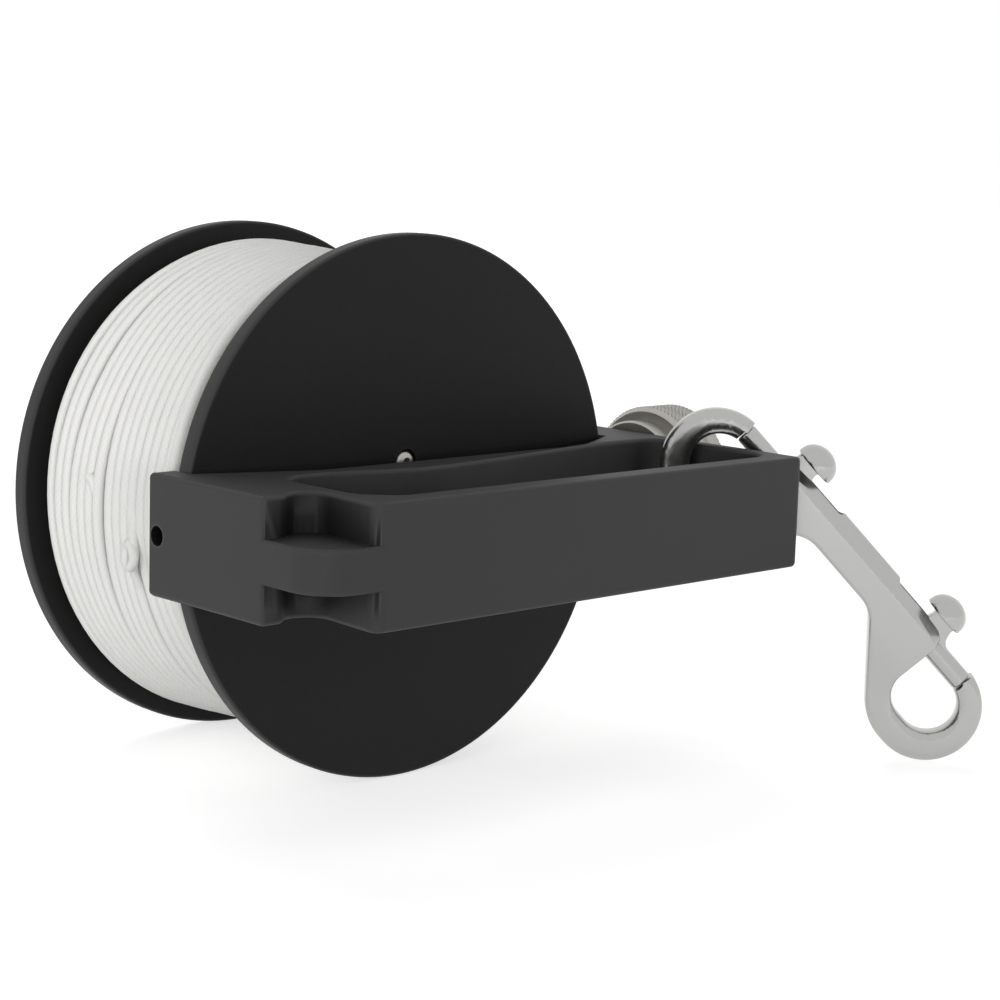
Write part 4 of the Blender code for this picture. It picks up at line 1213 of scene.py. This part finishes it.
def thinning_at(x, y):
    """How far the casting has thinned at a point: wholly at its rings and its outer side,
    and not at all in the middle."""
    to_ring = min(x, RING_SPACING - x)
    near_ring = smooth_step((THINS_WITHIN - to_ring) / THINS_OVER)
    outer = smooth_step((OUTER_SIDE - y) / OUTER_OVER)
    off_middle = smooth_step((RING_SPACING / 2 - MIDDLE_KEPT - to_ring) / MIDDLE_OVER)
    return max(near_ring, outer * off_middle)


class REEL_OT_snap_body(Operator):
    """Double-ended snap body: flat sides, ridged back and two hooks that turn round"""

    bl_idname = "reel.snap_body"
    bl_label = "Snap body"

    def execute(self, context):
        mesh = cut_away("snap_rough", snap_slab(), snap_cuts())
        bm = bmesh.new()
        bm.from_mesh(mesh)
        bpy.data.meshes.remove(mesh)
        cut_in_strips(bm)
        for vert in bm.verts:
            thinned = (1 - RING_THICKNESS / BODY_THICKNESS) * thinning_at(vert.co.x, vert.co.y)
            vert.co.z *= 1 - thinned
        bmesh.ops.transform(bm, matrix=snap_matrix(), verts=bm.verts)
        add_piece("snap_casting", bm, "snap", "snap_steel", ["snap_body"], sharp=28)
        return {"FINISHED"}


def stud_post(stud, side):
    """The flat post between bolt and cap, which flares into the bolt on the ring's side."""
    bm = bmesh.new()
    face = bm.faces.new([
        bm.verts.new((stud + side * u, v, -POST_THICKNESS / 2)) for u, v in POST_OUTLINE
    ])
    grown = bmesh.ops.extrude_face_region(bm, geom=[face])
    risen = [v for v in grown["geom"] if isinstance(v, bmesh.types.BMVert)]
    bmesh.ops.translate(bm, vec=(0, 0, POST_THICKNESS), verts=risen)
    bmesh.ops.recalc_face_normals(bm, faces=bm.faces)
    rims = [e for e in bm.edges if abs(e.verts[0].co.z - e.verts[1].co.z) < 0.01]
    return bevelled(bm, rims, POST_EDGE, False)


class REEL_OT_snap_bolts(Operator):
    """The snap's sprung bolts and their thumb studs"""

    bl_idname = "reel.snap_bolts"
    bl_label = "Snap bolts"

    def execute(self, context):
        for name, side, ring in SNAP_ENDS:
            stud = ring - side * STUD_TO_RING[name]
            self.add(f"bolt_{name}", self.bolt(stud, side, ring), name, "bolt")
            cap = self.cap(ring - side * CAP_TO_RING[name])
            post = mesh_of("stud_post", stud_post(stud, side))
            cap.from_mesh(post)
            bpy.data.meshes.remove(post)
            self.add(f"stud_{name}", cap, name, "stud")
        return {"FINISHED"}

    def add(self, name, bm, end, kind):
        """Puts a piece in its place on one end's bolt."""
        bmesh.ops.transform(bm, matrix=snap_matrix(), verts=bm.verts)
        add_piece(name, bm, f"bolt_{end}", "snap_steel", [f"snap_{kind}_{end}"])

    def bolt(self, stud, side, ring):
        """A round bolt with a blunt nose, which ends just short of the hook's tip."""
        tail = stud - side * BOLT_TAIL
        end = abs(ring + side * (TIP_PAST - BOLT_GAP) - tail)
        profile = [
            (0, 0), (BOLT_RADIUS - BOLT_EDGE, 0), (BOLT_RADIUS, BOLT_EDGE),
            (BOLT_RADIUS, end - BOLT_NOSE), (BOLT_RADIUS - 0.18, end - 0.15),
            (BOLT_RADIUS - BOLT_NOSE, end), (0, end),
        ]
        return turned_mesh(profile, BOLT_STEPS, ALONG_X * side, (tail, BOLT_AXIS, 0))

    def cap(self, along):
        """A domed thumb cap."""
        low = BACK + CAP_LIFT
        profile = [(radius, low + height) for radius, height in CAP_RIM]
        for k in range(DOME_STEPS):
            angle = math.pi / 2 * k / DOME_STEPS
            height = DOME_START + DOME_HEIGHT * math.sin(angle)
            profile.append((DOME_RADIUS * math.cos(angle), low + height))
        profile.append((0, low + DOME_START + DOME_HEIGHT))
        return turned_mesh(profile, CAP_STEPS, ALONG_Y, (along, 0, 0))


# Stage

FLOOR_HALF = 6
FLOOR_GAP = 0.05 * MM
GLOW_START = 0.3
GLOW_END = 2.5
GLOW_LEAST = 0.62
ROOM_LIGHT = 0.3
LAMP_AIM = Vector((0, 0.04, 0))
LAMPS = (
    ("key", (-1.6, -0.5, 0.4), (1.6, 1.2), 16),
    ("fill", (-0.7, -1.6, 0.14), (1.6, 0.36), 14),
    ("top", (0.4, 0.9, 1.6), (1.6, 1.6), 9),
)
CAMERA_PLACE = (-0.314764, -0.309919, 0.077463)
CAMERA_RIGHT = (0.72897876, -0.68383516, 0.03097482)
CAMERA_UP = (0.08353304, 0.13377635, 0.98748474)
CAMERA_BACK = (-0.67942049, -0.71726798, 0.15464295)
CAMERA_LENS = 79.71


def plain_rays(material):
    """One for rays from the camera and for those that gloss or glass sends on."""
    seen = add_node(material, "LightPath", output="Is Camera Ray")
    for kind in ("Is Glossy Ray", "Is Transmission Ray"):
        other = add_node(material, "LightPath", output=kind)
        seen = add_node(material, "Math", {0: seen, 1: other}, operation="MAXIMUM")
    return seen


class REEL_OT_stage(Operator):
    """Floor, soft lamps, pale surroundings and the camera"""

    bl_idname = "reel.stage"
    bl_label = "Stage"

    def execute(self, context):
        scene = context.scene
        scene.view_settings.view_transform = "Standard"
        low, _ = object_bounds()
        bm = bmesh.new()
        bmesh.ops.create_grid(bm, x_segments=1, y_segments=1, size=FLOOR_HALF)
        bmesh.ops.translate(bm, vec=(0, 0, low.z - FLOOR_GAP), verts=bm.verts)
        floor = placed("floor", mesh_of("floor", bm))
        floor.data.materials.append(self.paper())
        floor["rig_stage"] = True
        self.surroundings(scene)
        for lamp in LAMPS:
            self.add_lamp(*lamp)
        data = bpy.data.cameras.new("camera")
        data.sensor_width = 36
        data.lens = CAMERA_LENS
        data.clip_start, data.clip_end = 0.01, 50
        camera = placed("camera", data)
        axes = Matrix((CAMERA_RIGHT, CAMERA_UP, CAMERA_BACK)).transposed().to_4x4()
        camera.matrix_world = Matrix.Translation(CAMERA_PLACE) @ axes
        scene.camera = camera
        return {"FINISHED"}

    def paper(self):
        """Seamless white paper that glows to white for the camera and for gloss, a little
        under the object, so that its shadow stays, and wholly further off."""
        made, where = new_material("white_paper")
        colour = tuple(colours().backdrop)
        fibre = add_node(made, "TexNoise", {"Vector": where, "Scale": repeats(3)})
        away = add_node(made, "VectorMath", {0: where}, "Value", operation="LENGTH")
        glow = add_node(
            made, "MapRange",
            {"Value": away, "From Min": GLOW_START, "From Max": GLOW_END, "To Min": GLOW_LEAST},
            interpolation_type="SMOOTHSTEP",
        )
        seen = add_node(made, "Math", {0: glow, 1: plain_rays(made)}, operation="MULTIPLY")
        tone = layered(made, tinted(colour, 0.80), (fibre, tinted(colour, 0.82)))
        return shaded(made, tone, None, None, {
            "Roughness": 0.9, "Specular IOR Level": 0.0, "Emission Color": colour,
            "Emission Strength": seen,
        })

    def surroundings(self, scene):
        """An even pale room; what the camera or a polished face sees of it is white."""
        world = bpy.data.worlds.new("room")
        scene.world = world
        world.use_nodes = True
        world.node_tree.nodes.clear()
        strength = add_node(world, "MapRange", {"Value": plain_rays(world), "To Min": ROOM_LIGHT})
        light = add_node(
            world, "Background", {"Color": tuple(colours().backdrop), "Strength": strength}
        )
        add_node(world, "OutputWorld", {"Surface": light})

    def add_lamp(self, name, place, size, power):
        """A soft rectangular lamp that faces the reel."""
        data = bpy.data.lights.new(name, "AREA")
        data.shape = "RECTANGLE"
        data.size, data.size_y = size
        data.energy = power
        lamp = placed(name, data)
        lamp.visible_glossy = False
        lamp.location = place
        lamp.rotation_mode = "QUATERNION"
        lamp.rotation_quaternion = (LAMP_AIM - Vector(place)).to_track_quat("-Z", "Y")


class REEL_PT_panel(Panel):
    """Lists the reel's pieces, sizes and colours"""

    bl_idname = "REEL_PT_panel"
    bl_label = "Dive reel"
    bl_space_type = "VIEW_3D"
    bl_region_type = "UI"
    bl_category = "Reel"

    def draw(self, context):
        for operator in OPERATORS:
            self.layout.operator(operator.bl_idname)
        for group in (context.scene.reel_sizes, context.scene.reel_colours):
            box = self.layout.box()
            for name in group.__annotations__:
                box.prop(group, name)


OPERATORS = (
    REEL_OT_handle,
    REEL_OT_flanges,
    REEL_OT_hardware,
    REEL_OT_winding,
    REEL_OT_winding_knob,
    REEL_OT_lock_knob,
    REEL_OT_snap_body,
    REEL_OT_snap_bolts,
    REEL_OT_stage,
)
CLASSES = (ReelSizes, ReelColours, *OPERATORS, REEL_PT_panel)


def register():
    for each in CLASSES:
        bpy.utils.register_class(each)
    bpy.types.Scene.reel_sizes = PointerProperty(type=ReelSizes)
    bpy.types.Scene.reel_colours = PointerProperty(type=ReelColours)


def unregister():
    del bpy.types.Scene.reel_sizes
    del bpy.types.Scene.reel_colours
    for each in reversed(CLASSES):
        bpy.utils.unregister_class(each)


def main():
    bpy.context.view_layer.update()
    for obj in list(bpy.data.objects):
        if obj.name in ("Cube", "Light", "Camera"):
            bpy.data.objects.remove(obj)
    register()
    for operator in OPERATORS:
        section, name = operator.bl_idname.split(".")
        getattr(getattr(bpy.ops, section), name)()


if __name__ == "__main__":
    main()
